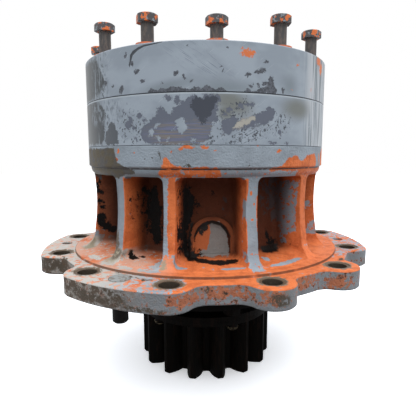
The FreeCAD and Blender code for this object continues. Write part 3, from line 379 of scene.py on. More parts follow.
def enamel_ground(paint):
    """Clouds, hair scratches and upright streaks at the sides, partly rain and partly painted reflections and shade.
    """
    place = paint.place
    cloud = noise_on(place["label"], (60, 40, 60), 3.0)
    rain_and_sheen_streaks = noise_on(place["label"], (5, 110, 60), 4.0)
    paint.coat(above(cloud, 0.52, 0.1), "#8c959d", 0.48)
    # Upright streaks at the sides: partly rain, partly painted reflections and shade.
    right = between(place["angle"], 46, 80, 4)
    paint.coat([right, above(rain_and_sheen_streaks, 0.5, 0.06)], "#b4b8bb", 0.42)
    paint.coat([right, below(rain_and_sheen_streaks, 0.45, 0.05)], "#757d80", 0.5)
    left = between(place["angle"], -110, -46, 4)
    paint.coat([left, above(rain_and_sheen_streaks, 0.5, 0.04)], "#7c858c", 0.42)
    hair = noise_on(place["label"], (1.1, 30, 30), 2.0, tilt=-52)
    paint.coat(above(hair, 0.7, 0.02), "#a3abb2", 0.4)


def thinned(place, mask):
    """Lets a mask of the left side break up into scarcer patches towards the back."""
    patches = noise_on(place["label"], (22, 30, 60), 5.0, 0.7)
    share = above(place["angle"], -104, 17)
    return overlap(mask, flaked(share, patches, 0.04))


def joint_line_and_highlight(paint, heights):
    """Painted highlight on the bevel below each joint, dark line on it."""
    for joint in heights:
        # The bright bevel is a painted highlight.
        paint.coat(between(paint.place["height"], joint - 2.2, joint - 0.6, 0.4), "#aab2b7", 0.4)
        paint.coat(between(paint.place["height"], joint - 0.6, joint + 0.5, 0.3), "#25292c", 0.6)


def turned_faces(paint):
    """Bare turned steel on every face but the outside."""
    paint.coat(below(paint.place["radius"], body_radius_mm - skin_mm, 0.2), "#7f8285", 0.35)


print("ground shared by", len(nodes["first_ring_gear"].data.polygons), "and",
      len(nodes["second_ring_gear"].data.polygons), "faces")

# %% [markdown]
# ## The upper ring's wear
#
# The upper ring kept most of its paint. A broad dark stain covers its left side, where water ran down for years,
# and a fan of scratches crosses its middle. Both are soft or fine, so they are masks of noise with a place.

# %% Stain and scratch the upper enamel
paint = Finish("satin_enamel_upper", paint_grey, 0.42)
place = paint.place
mm, label, angle = place["mm"], place["label"], place["angle"]
torn = pulled_about(place, "label", 8, 17, 0.72)
enamel_ground(paint)
smudges = spots(label, [(8, 250, 34, 9), (35, 258, 12, 12), (-14, 252, 30, 6, 10), (150, 262, 40, 14)], 0.9)
paint.coat(smudges, "#7d868c", 0.5)
stain = silhouettes(torn, [[(-128, 252, 290), (-100, 246, 298), (-58, 246, 298), (-51.1, 250, 296), (-47.6, 254, 281),
    (-45, 262, 271)]], 3)
stain = thinned(place, stain)
wet = noise_on(label, (6, 60, 60), 4.0)
paint.coat([stain, above(wet, 0.36, 0.06)], "#343a3e", 0.35)
mottled = overlap(between(angle, -57, -43, 3), above(noise_on(label, (5, 9, 30), 5.0, 0.7), 0.55, 0.03))
paint.coat(mottled, "#5f676c", 0.45)
scratched = spots(label, [(-3, 284, 48, 17, -30)], 0.4)
hair = noise_on(label, (26, 0.8, 30), 2.0, tilt=-33)
paint.coat([scratched, above(hair, 0.64, 0.03)], "#747d86", 0.5)
# The gouge is sunk half a millimetre and coloured dark: partly scraped paint, partly painted shade in its groove.
gouge = silhouettes(label, [[(-29.6, 277, 283), (-29.2, 281, 291.5), (-28, 290.2, 295.4), (-25.7, 295.4, 298.6),
    (-22.9, 298.6, 300.7), (-18.3, 300.2, 301.4), (-15.5, 301.6, 302.6)]], 0.5)
paint.coat(gouge, "#3c4146", 0.5, -0.5)
print("upper ring stained:", len(paint.tree.nodes), "nodes")

# %% [markdown]
# ## Chips on the upper ring
#
# Small chips lie on two rising lines, a row of them runs along the joint where a lever went in, and a splash of
# orange sits high on the right. Each is drawn in its place, and the back gets a few of the same kind.

# %% Chip the upper enamel
chips = spots(torn, [(-31.3, 291.5, 2.6, 3.4, -40), (-28.6, 280.5, 3, 3.2, 30), (-26.4, 271.5, 4.8, 3, 10),
    (-23.8, 259.5, 3.4, 2.4, 10), (-10.4, 266, 3.2, 2.6), (-7.6, 262, 1.8, 3.2, 40), (-4.8, 257.5, 1.6, 1.6),
    (-15.8, 257.5, 1.4, 0.9), (-6, 296.5, 1.2, 1), (8.5, 295.5, 1.4, 1), (6, 274, 1.6, 1.8, 30), (6.8, 268.6, 1, 1.6),
    (23.3, 280.5, 2.2, 3, 30), (21.0, 270.5, 8.5, 3.2, 12), (16.2, 264.5, 3.8, 2.2, 10), (23.2, 257, 4, 3, 10),
    (17.4, 253.5, 3, 1.8, 10), (20.4, 254.5, 1.8, 2.2), (31.6, 249.5, 2.6, 3, 40), (-44, 262, 3, 3), (-39, 258, 2, 2),
    (-34, 252, 4, 5), (98, 262, 6, 4), (133, 280, 10, 3), (-128, 256, 9, 4), (-160, 290, 6, 3), (175, 252, 14, 4)])
lever = silhouettes(torn, [[(-21.5, 244, 247.5), (-20.6, 244, 250.5), (-17, 244, 248.5), (-8.2, 244, 250.5),
    (-6.5, 244, 247), (-4.1, 244, 248.4), (-1.2, 244, 251), (0.6, 244, 251), (2.8, 244, 248.6), (8.1, 244, 247.4)],
    [(14.5, 244, 247), (16.6, 244, 248), (18.4, 244, 247.6), (20.6, 244, 251), (22.4, 244, 251.5), (24.0, 244, 253),
    (25.0, 244, 262), (25.9, 244, 265.5), (26.9, 244, 263), (27.6, 244, 254), (28.6, 244, 247)], [(96, 244, 249),
    (110, 244, 252), (131, 244, 248), (150, 244, 254), (168, 244, 249)]], 0.3)
bare = either(chips, lever)
paint.coat(bare, "#5a5d64", 0.45, -0.12)
edged = noise_on(mm, 3, 4.0, 0.7)
paint.coat([bare, above(edged, 0.5, 0.04)], "#43464b", 0.5)
splash = pulled_about(place, "label", 5, 22)
paint.coat(spots(splash, [(16.5, 290.5, 8, 5), (14.2, 289.5, 4, 2), (39.5, 285, 2.5, 2), (56.5, 297, 7, 6),
    (60, 289, 6, 8), (49.5, 256, 1.4, 1.4), (36, 252, 1, 1), (142, 288, 9, 6)], 0.2), orange, 0.5, 0.06)
joint_line_and_highlight(paint, (upper_joint_mm,))
turned_faces(paint)
upper_enamel = paint.close(rounding=0.6, gloss=0.3)
print(upper_enamel.name, "has", len(upper_enamel.node_tree.nodes), "nodes")

# %% [markdown]
# ## The lower ring's wear
#
# The lower ring stood where chains and slings rubbed. Around the bare fields the paint is pecked with flecks a
# few millimetres wide. They come from one noise, and ellipses only say where that noise may show.

# %% Stain and peck the lower enamel
paint = Finish("satin_enamel_lower", paint_grey, 0.42)
place = paint.place
mm, label, angle, height = place["mm"], place["label"], place["angle"], place["height"]
torn = pulled_about(place, "label", 7, 21, 0.79)
enamel_ground(paint)
haze = spots(label, [(10, 233, 24, 13, -20), (8, 222, 10, 10), (40, 230, 24, 12)], 0.7)
paint.coat(haze, "#737672", 0.5)
stain = silhouettes(torn, [[(-128, 194, 236), (-100, 186, 243), (-53.8, 186, 243), (-49, 186, 240), (-46.6, 190, 234),
    (-45.2, 214, 230)]], 2)
stain = thinned(place, stain)
wet = noise_on(label, (5, 70, 60), 4.0)
paint.coat([stain, above(wet, 0.34, 0.06)], "#30363a", 0.35)
mottled = overlap(between(angle, -58, -36, 4), between(height, 212, 243, 6),
                  above(noise_on(label, (7, 12, 30), 5.0, 0.7), 0.52, 0.03))
paint.coat(mottled, "#737b82", 0.45)
fleck = noise_on(mm, (3.4, 3.4, 4.6), 4.0, 0.7)
share = lay_share(0.0, [spots(label, [(-30, 206, 26, 26), (-46, 204, 18, 22), (12, 224, 22, 14, 10),
    (18, 198, 40, 12, 15), (31, 210, 16, 18), (-6, 190, 60, 7), (6, 212, 10, 14), (120, 214, 60, 26),
    (-140, 210, 60, 22)], 0.5)], 0.34)
paint.coat(flaked(share, fleck, 0.02), "#43474d", 0.45, -0.1)
print("lower ring pecked:", len(paint.tree.nodes), "nodes")

# %% [markdown]
# ## Bare steel on the lower ring
#
# A wide field of paint is gone, with islands of it left inside. On the right a slanting block was scraped off.
# Such outlines are drawn as rows of an angle and two heights, and the torn label makes their edges ragged.

# %% Draw the bare fields
steel = silhouettes(torn, [[(-45.4, 185, 196), (-44.7, 185, 203), (-40.6, 185, 214), (-38.1, 185, 209),
    (-37.0, 185, 198)], [(-32.4, 205, 212), (-31.6, 204, 216.5), (-30.4, 204, 214), (-29.6, 205, 209)],
    [(-24.8, 190, 203), (-23.6, 190, 209), (-22, 186, 209), (-20.6, 184.5, 214.3), (-18.3, 184.5, 217),
    (-17.5, 184.5, 228.1), (-15, 184.5, 226.1), (-13.1, 184.5, 219.3), (-11.3, 184.5, 228.4), (-8.9, 184.5, 231),
    (-7.1, 184.5, 235), (-4.7, 184.5, 241), (-3, 184.5, 242.5), (-1.4, 185, 237), (0.5, 187.4, 242),
    (1.6, 189.2, 242.5), (3.2, 212, 242.5), (4.6, 224, 242.6), (5, 232, 242)], [(6.4, 201, 209.7),
    (8.2, 196.8, 215.3), (10.6, 198.7, 216.4), (13.0, 202.5, 213.7), (15.5, 203.1, 215), (19.3, 204.8, 219.8),
    (23.4, 208.9, 226.0), (26.9, 214.1, 230.3), (27.8, 220.9, 229)], [(84, 190, 210), (92, 188, 226), (101, 186, 219),
    (108, 190, 204)], [(138, 200, 218), (146, 190, 236), (158, 186, 228), (167, 196, 210)]], 0.3)
small = spots(torn, [(-13.6, 239, 5, 4), (-10, 236, 4, 5), (-8, 231, 3, 4), (13.2, 229, 5, 3, 5),
    (17, 231.5, 7, 3, 5), (9, 224, 5, 3, 10), (7.5, 219, 3, 2), (-29.6, 214, 3, 6, 20), (-28.2, 205, 3, 3),
    (-23.5, 213, 2.6, 3), (4, 213, 4, 3), (6.5, 196, 2, 2), (-27, 190, 2, 2), (-25.5, 219, 3, 4), (-33, 225, 3, 2),
    (30.4, 199, 2.4, 3.5), (36, 217, 1.2, 1.6), (26.8, 187.5, 7, 1.6), (34, 187, 3, 1.4), (-120, 226, 9, 6),
    (-165, 214, 12, 5)])
island = silhouettes(torn, [[(-11.4, 199, 203), (-10.4, 206, 212.7), (-8.9, 196, 216.3), (-7.4, 198.6, 213.4),
    (-6.6, 202, 206)]], 0.3)
crumbs = spots(torn, [(-17.6, 191, 3, 3), (-14, 190, 2, 2), (-18, 207, 5, 2, 30), (-4, 189, 3, 3), (-20.4, 199, 3, 5),
    (-12.5, 222, 4, 2, 40), (21, 209, 4, 1.6, 20)], 0.15)
island = either(island, crumbs)
kept = node(paint.tree, "ShaderNodeMath", {0: 1.0, 1: island}, operation="SUBTRACT")
bare = overlap(either(steel, small), kept)
print("bare fields drawn:", len(paint.tree.nodes), "nodes")

# %% [markdown]
# ## What the bare steel looks like
#
# The steel was ground once, so fine level streaks of brown and lilac run through it. The darkest part is shaped
# like a heart, and a painted highlight in cream lies at the block's corner.

# %% Colour the bare fields
paint.coat(bare, bare_steel, 0.4, -0.15)
level = noise_on(label, (60, 1.8, 60), 3.0, 0.7)
low_field = spots(torn, [(-8, 197, 46, 15)], 0.25)
paint.coat([bare, low_field, above(level, 0.53, 0.03)], "#77706a", 0.4)
paint.coat([bare, low_field, below(level, 0.45, 0.03)], "#696d84", 0.38)
dark = silhouettes(torn, [[(-4.6, 226, 236), (-3.4, 219, 241), (-2.4, 213, 240.5), (-0.9, 207.5, 236.5),
    (1.1, 215, 240), (2.6, 221, 241), (4.0, 230, 241)]], 0.6)
paint.coat([dark, bare], "#3b3f48", 0.34)
damp = between(angle, -60, -36, 2)
paint.coat([bare, damp], "#4a4f54", 0.4)
# A painted highlight in cream along the scraped block's corner.
cream_highlight = silhouettes(torn, [[(10.6, 202, 204.8), (13.0, 203.5, 212.5), (16.1, 207.3, 216.2), (18.6, 213, 218.2)]], 1.4)
paint.coat(cream_highlight, "#a5a196", 0.5, 0.05)
scraped = spots(label, [(17, 196, 34, 10, 22)], 0.4)
hair = noise_on(label, (12, 0.9, 30), 2.0, tilt=27)
paint.coat([scraped, above(hair, 0.62, 0.03)], "#565a60", 0.5)
joint_line_and_highlight(paint, (upper_joint_mm, lower_joint_mm))
turned_faces(paint)
lower_enamel = paint.close(rounding=0.6, gloss=0.3)
print(lower_enamel.name, "has", len(lower_enamel.node_tree.nodes), "nodes")

# %% [markdown]
# ## Round the flange's holes
#
# A bolt's washer wears the paint off down to brown metal. The distance from the nearest hole centre comes from
# the angle folded into one hole's share of the circle, so one small formula serves all the holes.

# %% Measure the way to the nearest hole
mount = next(m for m in frame["record"]["mounts"] if m["name"] == "flange_bolts")
hole_circle_mm = mount["dims"]["pcd_mm"] / 2
hole_radius_mm = mount["dims"]["hole_r_mm"]
hole_count = int(mount["dims"]["count"])
first_hole = -10


def way_to_hole(place, start, count, circle):
    """Distance in millimetres from the nearest of a circle of holes."""
    tree = place["angle"].id_data
    step = 360 / count
    shifted = node(tree, "ShaderNodeMath", {0: place["angle"], 1: step / 2 - start}, operation="ADD")
    within = node(tree, "ShaderNodeMath", {0: shifted, 1: step}, operation="FLOORED_MODULO")
    off = node(tree, "ShaderNodeMath", {0: within, 1: step / 2}, operation="SUBTRACT")
    across = node(tree, "ShaderNodeMath", {0: off, 1: math.radians(circle)}, operation="MULTIPLY")
    out = node(tree, "ShaderNodeMath", {0: place["radius"], 1: circle}, operation="SUBTRACT")
    two_ways = node(tree, "ShaderNodeCombineXYZ", {0: across, 1: out, 2: 0.0})
    return node(tree, "ShaderNodeVectorMath", {0: two_ways}, operation="LENGTH").outputs["Value"]


print(hole_count, "flange holes of", hole_radius_mm, "mm radius on a circle of", hole_circle_mm, "mm")

# %% [markdown]
# ## The housing's ground
#
# The housing is cast iron, sprayed orange first and grey later. Each of its faces wears in its own way, and a
# casting turned round one axis has its faces apart in height and radius, so a pair of limits finds each of them.

# %% Find the housing's faces
paint = Finish("flaked_paint_on_casting", "#929ba2", 0.55)
place = paint.place
mm, label, plan, side, angle, height, radius = place.values()
torn = pulled_about(place, "label", 8, 15, 0.72)
torn_plan = pulled_about(place, "plan", 8, 18, 0.7)
torn_side = pulled_about(place, "side", 7, 22, 0.75)
flake = noise_on(mm, 7, 8.0, 0.68)
cloud = noise_on(mm, 45, 3.0)
zones = {
    "pocket": overlap(between(height, 31, 145, 2), between(radius, 100, 167, 3)),
    "rib": overlap(between(height, 46, 143, 3), between(radius, 167, 190, 2)),
    "floor": overlap(between(height, 24.5, 46, 2.5), between(radius, 135, 211.2, 0.4)),
    "rim": overlap(below(height, 27.5, 0.5), above(radius, 211.2, 0.4)),
    "edge": overlap(below(height, 24.2, 0.5), above(radius, 205, 1)),
    "underside": overlap(between(height, 142, 153.4, 1), above(radius, 150, 2)),
}
top_faces = either(zones["floor"], zones["rim"])

paint.coat(above(cloud, 0.5, 0.12), "#858d93", 0.6)
west = between(angle, -130, -22, 12)
paint.coat([top_faces, west], "#b1aca3", 0.6)
print("faces:", ", ".join(zones))

# %% [markdown]
# ## Bare patches on the band
#
# The grey has come off in maps. Those on the smooth band under the rings are large and easy to recognise, so
# they are drawn one by one.

# %% Draw the band's bare patches
band_bare = silhouettes(torn, [[(-17.8, 147, 149.5), (-16.5, 147, 152), (-16.0, 147, 168.4), (-14.0, 148, 167.4),
    (-12.4, 150, 161.4), (-10.6, 151, 158.4), (-8.4, 153, 156.6), (-4.8, 153, 156), (-2.5, 153, 156.8),
    (0.5, 153, 155.8), (4.7, 153, 156.8), (5.4, 153, 154.4)], [(26.7, 152.5, 155), (27.5, 152.4, 157),
    (32.3, 152.2, 158), (33.9, 152, 163.8), (36, 152, 167), (38.6, 151.8, 172), (41, 151.6, 170.5),
    (42.4, 151.6, 164), (45.1, 151.4, 164), (47.6, 151, 169), (51.5, 150.8, 171.5), (55.5, 150.3, 174),
    (57.4, 150.0, 173)], [(66, 148, 175), (72, 148, 183), (80, 148, 172), (92, 148, 162)], [(120, 148, 158),
    (128, 148, 172), (141, 148, 160), (160, 148, 170), (172, 148, 156)]], 0.3)
crumbs = spots(torn, [(-6.5, 181, 9, 2), (-9, 178.5, 4, 1.6), (0, 180.5, 5, 1.8), (30.3, 176.5, 3.6, 2.2, 25),
    (-37.4, 176, 1.6, 2.6), (-38.2, 166, 1.4, 2.6), (-28, 174, 1, 1), (-17, 149, 4, 2), (3.5, 176, 1, 1),
    (20, 182, 1, 1), (-13, 176, 1.2, 1), (62, 166, 2, 9)], 0.15)
print("band drawn:", len(paint.tree.nodes), "nodes")

# %% [markdown]
# ## Where the housing's paint has gone
#
# Everywhere else, how much grey is gone is a share between 0 and 1 that differs from place to place: a rib that
# rubbed against a strap has a high share of orange, the flange's edge a low one. Noise then decides point by
# point, so a share turns into flakes with hard edges, as real paint does.

# %% Share out the flaking
share = lay_share(0.0, [zones["underside"], between(angle, -18, 8, 3)], 0.62)
share = lay_share(share, [zones["underside"], between(angle, 8, 40, 3)], 0.3)
share = lay_share(share, [zones["underside"], above(angle, 42, 3)], 0.75)
share = lay_share(share, [zones["rib"]], 0.1)
share = lay_share(share, [zones["rib"], spots(label, [(-75, 95, 13, 60), (-36.8, 92, 2.6, 62), (-13.0, 92, 7.6, 66),
    (17.2, 132, 2.6, 16), (19.3, 124, 1.8, 3), (20.8, 110, 1.2, 1.6), (20, 90, 2, 1.4), (22.2, 98, 1.2, 22),
    (17.2, 70, 1.6, 22), (51, 95, 15, 66), (79, 95, 17, 66), (105, 95, 13, 60), (140.5, 95, 8, 60),
    (-160.3, 95, 8, 60), (-100, 95, 7, 60)], 0.3)], 0.92)
share = lay_share(share, [zones["pocket"]], 0.97)
share = lay_share(share, [zones["pocket"], spots(label, [(41, 112, 20, 28), (11.6, 104, 6.5, 15), (66, 80, 10, 30),
    (120, 90, 40, 40), (-120, 90, 40, 40)], 0.3)], 0.5)
flank_e = between(angle, 45, 49.5, 0.5)
share = lay_share(share, [flank_e, between(height, 40, 143, 3), between(radius, 120, 176, 2)], 0.36)
share = lay_share(share, [flank_e, spots(side, [(132, 54, 14, 20), (168, 52, 12, 12), (158, 141, 22, 5),
    (175, 90, 4, 40)], 0.4, unit=1)], 0.9)
flank_f = between(angle, 73, 78, 0.5)
share = lay_share(share, [flank_f, spots(side, [(166, 93, 8, 9), (174, 56, 12, 12)], 0.4, unit=1)], 0.4)
share = lay_share(share, [zones["floor"]], 0.9)
share = lay_share(share, [zones["floor"], between(angle, -130, -20, 6)], 0.68)
share = lay_share(share, [zones["floor"], spots(plan, [(-19, 178, 8, 24), (-10, 184, 10, 4), (-20, 199, 16, 5),
    (20, 182, 10, 24), (11, 186, 16, 3.4), (-41, 186, 13, 20), (-31, 200, 12, 5), (36, 187, 34, 5, -5),
    (30, 166, 6, 8), (53, 172, 9, 8), (-74, 186, 12, 14), (-52, 197, 14, 6), (105, 184, 14, 14), (165, 184, 14, 14)],
    0.4)], 0.2)
share = lay_share(share, [zones["rim"]], 0.5)
share = lay_share(share, [zones["rim"], between(angle, -6, 62, 5)], 0.9)
share = lay_share(share, [zones["rim"], between(angle, -170, -22, 5)], 0.4)
share = lay_share(share, [zones["edge"]], 0.3)
share = lay_share(share, [zones["edge"], spots(label, [(6, 16, 24, 7), (17, 18, 8, 10), (32, 18, 20, 10),
    (-5, 15, 13, 8), (44, 10, 10, 8)], 0.5)], 0.66)
print("shares laid:", len(paint.tree.nodes), "nodes")

# %% [markdown]
# ## The orange below
#
# The orange shows through flakes, patches and crumbs alike. It is rubbed darker in places, and on the faces that
# look up it has faded under years of dust.

# %% Lay the orange
bare = either(flaked(share, flake), band_bare, crumbs)
paint.coat(bare, orange, 0.6)
worn_orange = above(noise_on(mm, 14, 5.0, 0.7), 0.53, 0.08)
paint.coat([bare, worn_orange], "#bd6236", 0.65)
faded = overlap(bare, top_faces, between(angle, -130, -15, 8), above(cloud, 0.44, 0.14))
paint.coat(faded, "#c4947d", 0.65)
print("orange laid:", len(paint.tree.nodes), "nodes")

# %% [markdown]
# ## The pockets
#
# In the pockets between the ribs the colour is browner on the left, and painted shade makes it darker towards the
# wall behind them.
# The arched pad stands out in grey, with a patch of orange on its left and a painted shadow below its arch.

# %% Darken the pockets and paint the pad
inside = between(height, 36, 147, 5)
browned = overlap(inside, between(angle, -110, -41, 1.5), below(radius, 176, 4))
paint.coat([browned, 0.72], "#402c23", 0.7)
# Painted shade: darker the deeper a point lies in a pocket.
pocket_shade = node(paint.tree, "ShaderNodeMapRange", {"Value": radius, "From Min": 173.0, "From Max": 141.0, "To Max": 0.93},
            interpolation_type="SMOOTHSTEP", clamp=False)
paint.coat([pocket_shade, inside], "#280f05", 0.75)
on_pad = between(radius, 128, 148, 2)
rim_face = overlap(spots(label, [(4, 62, 42, 34)]), between(radius, 138.5, 149, 1))
paint.coat([rim_face, inside, 0.7], "#7a4124", 0.65)
bright = overlap(silhouettes(torn, [[(-5.6, 38, 62), (-3.5, 38, 70), (-1, 38, 77), (3.4, 38, 80)]], 0.5), on_pad)
paint.coat(bright, "#a5572f", 0.6)
pad = overlap(silhouettes(torn, [[(-2.6, 37, 43), (0.6, 37, 44.5), (2.4, 37, 50), (2.9, 37, 82.6), (8, 37, 81),
    (11, 37, 75.6), (12.4, 37, 70), (13, 37, 60)]], 0.4), on_pad)
paint.coat(pad, "#75716c", 0.6, 0.05)
# A painted shadow under the arch's rim.
painted_arch_shadow = overlap(on_pad, silhouettes(label, [[(-5.8, 60, 65), (-4, 68, 75), (-1, 75, 81.5), (4, 79.5, 85),
    (9, 76, 81.5), (12, 68, 75), (13.8, 60, 65)]], 1.2))
paint.coat(painted_arch_shadow, "#1c120c", 0.6)
edge_dirt = overlap(on_pad, spots(torn, [(-0.6, 75, 7, 6), (-2.2, 67, 4, 5), (1.6, 81, 4, 3), (-8.6, 55, 4, 16),
    (-7.4, 76, 3, 6)], 0.2))
paint.coat(edge_dirt, "#17120e", 0.55)
print("pockets done:", len(paint.tree.nodes), "nodes")

# %% [markdown]
# ## The flange's edge
#
# The flange's edge is darkened all round by painted shade. The flange was knocked about when the gearbox was
# pulled, so its edge also shows rust, haze and long dents.

# %% Wear the flange's edge
# Painted shade: the whole edge is darkened by half.
paint.coat([zones["edge"], 0.5], "#625951", 0.65)
rusty = overlap(zones["edge"], between(angle, -175, -20, 10))
torn_noise = noise_on(mm, 12, 6.0, 0.7)
paint.coat([rusty, above(torn_noise, 0.49, 0.04)], "#54483d", 0.75)
paint.coat([zones["edge"], above(flake, 0.61, 0.02)], "#3d322b", 0.8)
paint.coat([zones["edge"], below(torn_noise, 0.4, 0.04)], "#7b766f", 0.7)
knocked = overlap(zones["edge"], spots(torn, [(-23, 17, 15, 4, -38), (-27, 9, 22, 4, -8), (-15, 5, 18, 3),
    (0.6, 20, 3, 5, 20), (19, 13, 9, 8), (-34, 12, 12, 8), (-64, 15, 14, 8)], 0.3))
paint.coat([knocked, above(noise_on(mm, 5, 5.0, 0.7), 0.45, 0.06)], "#4d443a", 0.75)
print("edge done:", len(paint.tree.nodes), "nodes")

# %% [markdown]
# ## Grime on the band and the feet
#
# Under the stained side of the rings a crust of olive grime hangs on the band. Mud has dried on the feet of the
# ribs, and boots have scuffed the flange.

# %% Lay the grime
outer = above(radius, 174, 3)
grime = silhouettes(torn, [[(-128, 142, 178), (-100, 140, 182), (-53.6, 140, 180.5), (-41, 141, 180.5),
    (-39.2, 142, 179), (-38.5, 143, 166), (-37.7, 144, 161), (-34.5, 146, 157.5), (-31.9, 147, 155.2),
    (-29.4, 148, 152.5)]], 0.8)
grime = thinned(place, grime)
paint.coat([grime, outer], "#494643", 0.6, 0.05)
olive = above(noise_on(mm, 16, 5.0), 0.5, 0.08)
paint.coat([grime, outer, olive], "#514939", 0.65)
marks = spots(torn, [(-7.2, 159, 3, 1.2), (-5.6, 157.6, 2, 1.2), (16.7, 158.6, 1.8, 1, 30),
    (-17.3, 172, 0.6, 4.5, 12), (-16.9, 168, 0.6, 1.6), (-20.5, 169, 1.4, 1.3, 30), (-24, 166, 1, 0.8)], 0.2)
paint.coat(marks, "#45423a", 0.7)
khaki = overlap(zones["floor"], spots(torn_plan, [(-42, 184, 13, 12), (-16, 190, 4, 4), (-72, 190, 14, 9)], 0.5))
paint.coat([khaki, above(cloud, 0.4, 0.12)], "#8f8671", 0.7)
worn_foot = spots(torn, [(-41.3, 56, 4, 16), (-40, 40, 9, 7), (-69, 44, 7, 9)], 0.4)
paint.coat([worn_foot, above(torn_noise, 0.44, 0.05)], "#655a4e", 0.7)
scuffs = overlap(zones["rim"], spots(torn_plan, [(-24, 219, 12, 2.5, 8), (-18.5, 223, 9, 3, 8), (-30, 214, 5, 2),
    (-38, 222, 7, 3, 20), (-11, 226, 7, 3), (-44, 231, 8, 4), (58, 226, 8, 4), (-60, 230, 10, 3), (150, 224, 12, 4)],
    0.3))
paint.coat([scuffs, above(flake, 0.47, 0.03)], "#544538", 0.75)
print("grime laid:", len(paint.tree.nodes), "nodes")

# %% [markdown]
# ## Grease in the pockets
#
# Old grease ran down the walls and dried black. On a wall it is drawn on the label, on a rib's flank on the
# section through radius and height, and on the floor on the plan, because each shows that face undistorted.

# %% Smear the grease
blotted = pulled_about(place, "label", 6, 36, 0.78)
pocket = between(radius, 100, 172, 2)
on_wall = spots(blotted, [(-9.8, 122, 5, 9, 20), (-8.4, 108, 9, 9), (-8.8, 96, 8, 9), (-10.2, 82, 6, 10),
    (-11.6, 68, 4, 10), (-11, 50, 5, 7), (-3.6, 105, 8, 2, -25), (4.2, 121, 2.4, 2), (-4.2, 93, 1.6, 1.6),
    (-33, 112, 10, 16), (-31.5, 92, 15, 18), (-31, 72, 14, 16), (-29, 58, 12, 10), (-47, 66, 12, 6),
    (40.5, 57, 4, 9, 30), (43.5, 47, 12, 6), (-3, 39, 4, 4), (100, 50, 12, 20), (150, 60, 14, 30), (-95, 60, 10, 20),
    (-150, 90, 12, 26)], 0.1)
paint.coat([on_wall, pocket], "#080605", 0.85, 0.3)
smeared = ((-14, -10, [(138, 114, 8, 16), (139, 88, 7, 18), (150, 80, 4, 3), (143, 62, 7, 8), (151, 66, 4, 5),
    (141, 50, 6, 10), (156, 96, 2, 3)]), (-38.4, -35.4, [(143, 124, 3, 5), (136, 120, 9, 4), (132, 100, 6, 18),
    (133, 72, 8, 16)]), (-74.5, -69, [(175, 122, 3.4, 7), (171, 114, 4, 3), (172, 101, 6, 4), (167, 92, 5, 3),
    (170, 71, 7, 12), (163, 61, 8, 7), (155, 56, 9, 5), (172, 132, 3, 4)]))
for low_angle, high_angle, ellipses in smeared:
    flank = between(angle, low_angle, high_angle, 0.4)
    paint.coat([flank, inside, spots(torn_side, ellipses, 0.12, unit=1)], "#080605", 0.85, 0.3)
low_lying = overlap(between(height, 24, 44, 2), between(radius, 120, 205, 2))
spill = spots(torn_plan, [(-9, 140, 10, 10), (-6, 151, 11, 8, 20), (-1, 157, 13, 8, 15), (6, 164, 17, 8.5, 6),
    (12.5, 162, 10, 8), (-47, 149, 17, 9), (-35, 169, 8, 5), (-32.4, 160, 6, 3), (41, 140, 22, 10), (46, 132, 14, 12),
    (60, 128, 8, 12)], 0.15)
paint.coat([low_lying, spill], "#14100d", 0.5)
print("grease smeared:", len(paint.tree.nodes), "nodes")

# %% [markdown]
# ## Holes, lines and the cast skin
#
# Bolts left brown rings round the holes. Painted shade darkens the step of the flange, the crease below the band
# and the flange's underside. A sand-cast skin has pebbles two to three millimetres wide over waves of eight, and
# two noises make it.

# %% Finish the casting
off_hole = way_to_hole(place, first_hole, hole_count, hole_circle_mm)
ragged_way = node(paint.tree, "ShaderNodeMath", {0: flake, 1: -22.0, 2: off_hole}, operation="MULTIPLY_ADD")
on_top = overlap(zones["rim"], above(height, 20, 1))
paint.coat([on_top, below(ragged_way, 8.0, 0.6)], "#7b6c5b", 0.6)
paint.coat([on_top, below(off_hole, 15.6, 0.5)], "#5d4c3c", 0.45)
paint.coat(below(off_hole, hole_radius_mm + 0.6, 0.4), "#3b3329", 0.6)

# Painted shade on the step's upright face.
step_shade = overlap(between(radius, 210.5, 211.5, 0.3), between(height, 25, 31, 1), above(cloud, 0.36, 0.1), 0.75)
paint.coat(step_shade, "#503c2e", 0.7)
# Painted shade in the crease below the band.
crease_shade = overlap(between(height, 153.4, 155.0, 0.4), between(radius, 178, 184.2, 0.5))
paint.coat([crease_shade, above(flake, 0.42, 0.05)], "#3d3a38", 0.7)
# Painted shade under the flange: near-black below its underside.
paint.coat(below(height, 0.8, 0.4), "#120e0b", 0.6)
for grain, depth in ((2.3, 1.1), (8, 0.8)):
    paint.roughen(noise_on(mm, grain, 2.0), depth)
housing_paint = paint.close(rounding=2.2, gloss=0.18)
print(housing_paint.name, "has", len(housing_paint.node_tree.nodes), "nodes")

# %% [markdown]
# ## Bolts and washers
#
# The bolts are black-oxide steel that has browned in the weather. They were painted over on their heads when
# the gearbox was assembled, orange first, and a spanner has taken most of that off again. The shanks sat in the
# rings and stayed bare. The washers kept their orange.

# %% Build the fasteners' finishes
bolt_inset_mm = 18.5
bolt_circle_mm = body_radius_mm - bolt_inset_mm
first_bolt = 5
bolt_count = 12
shank_radius_mm = 8
looks_up = 0.7

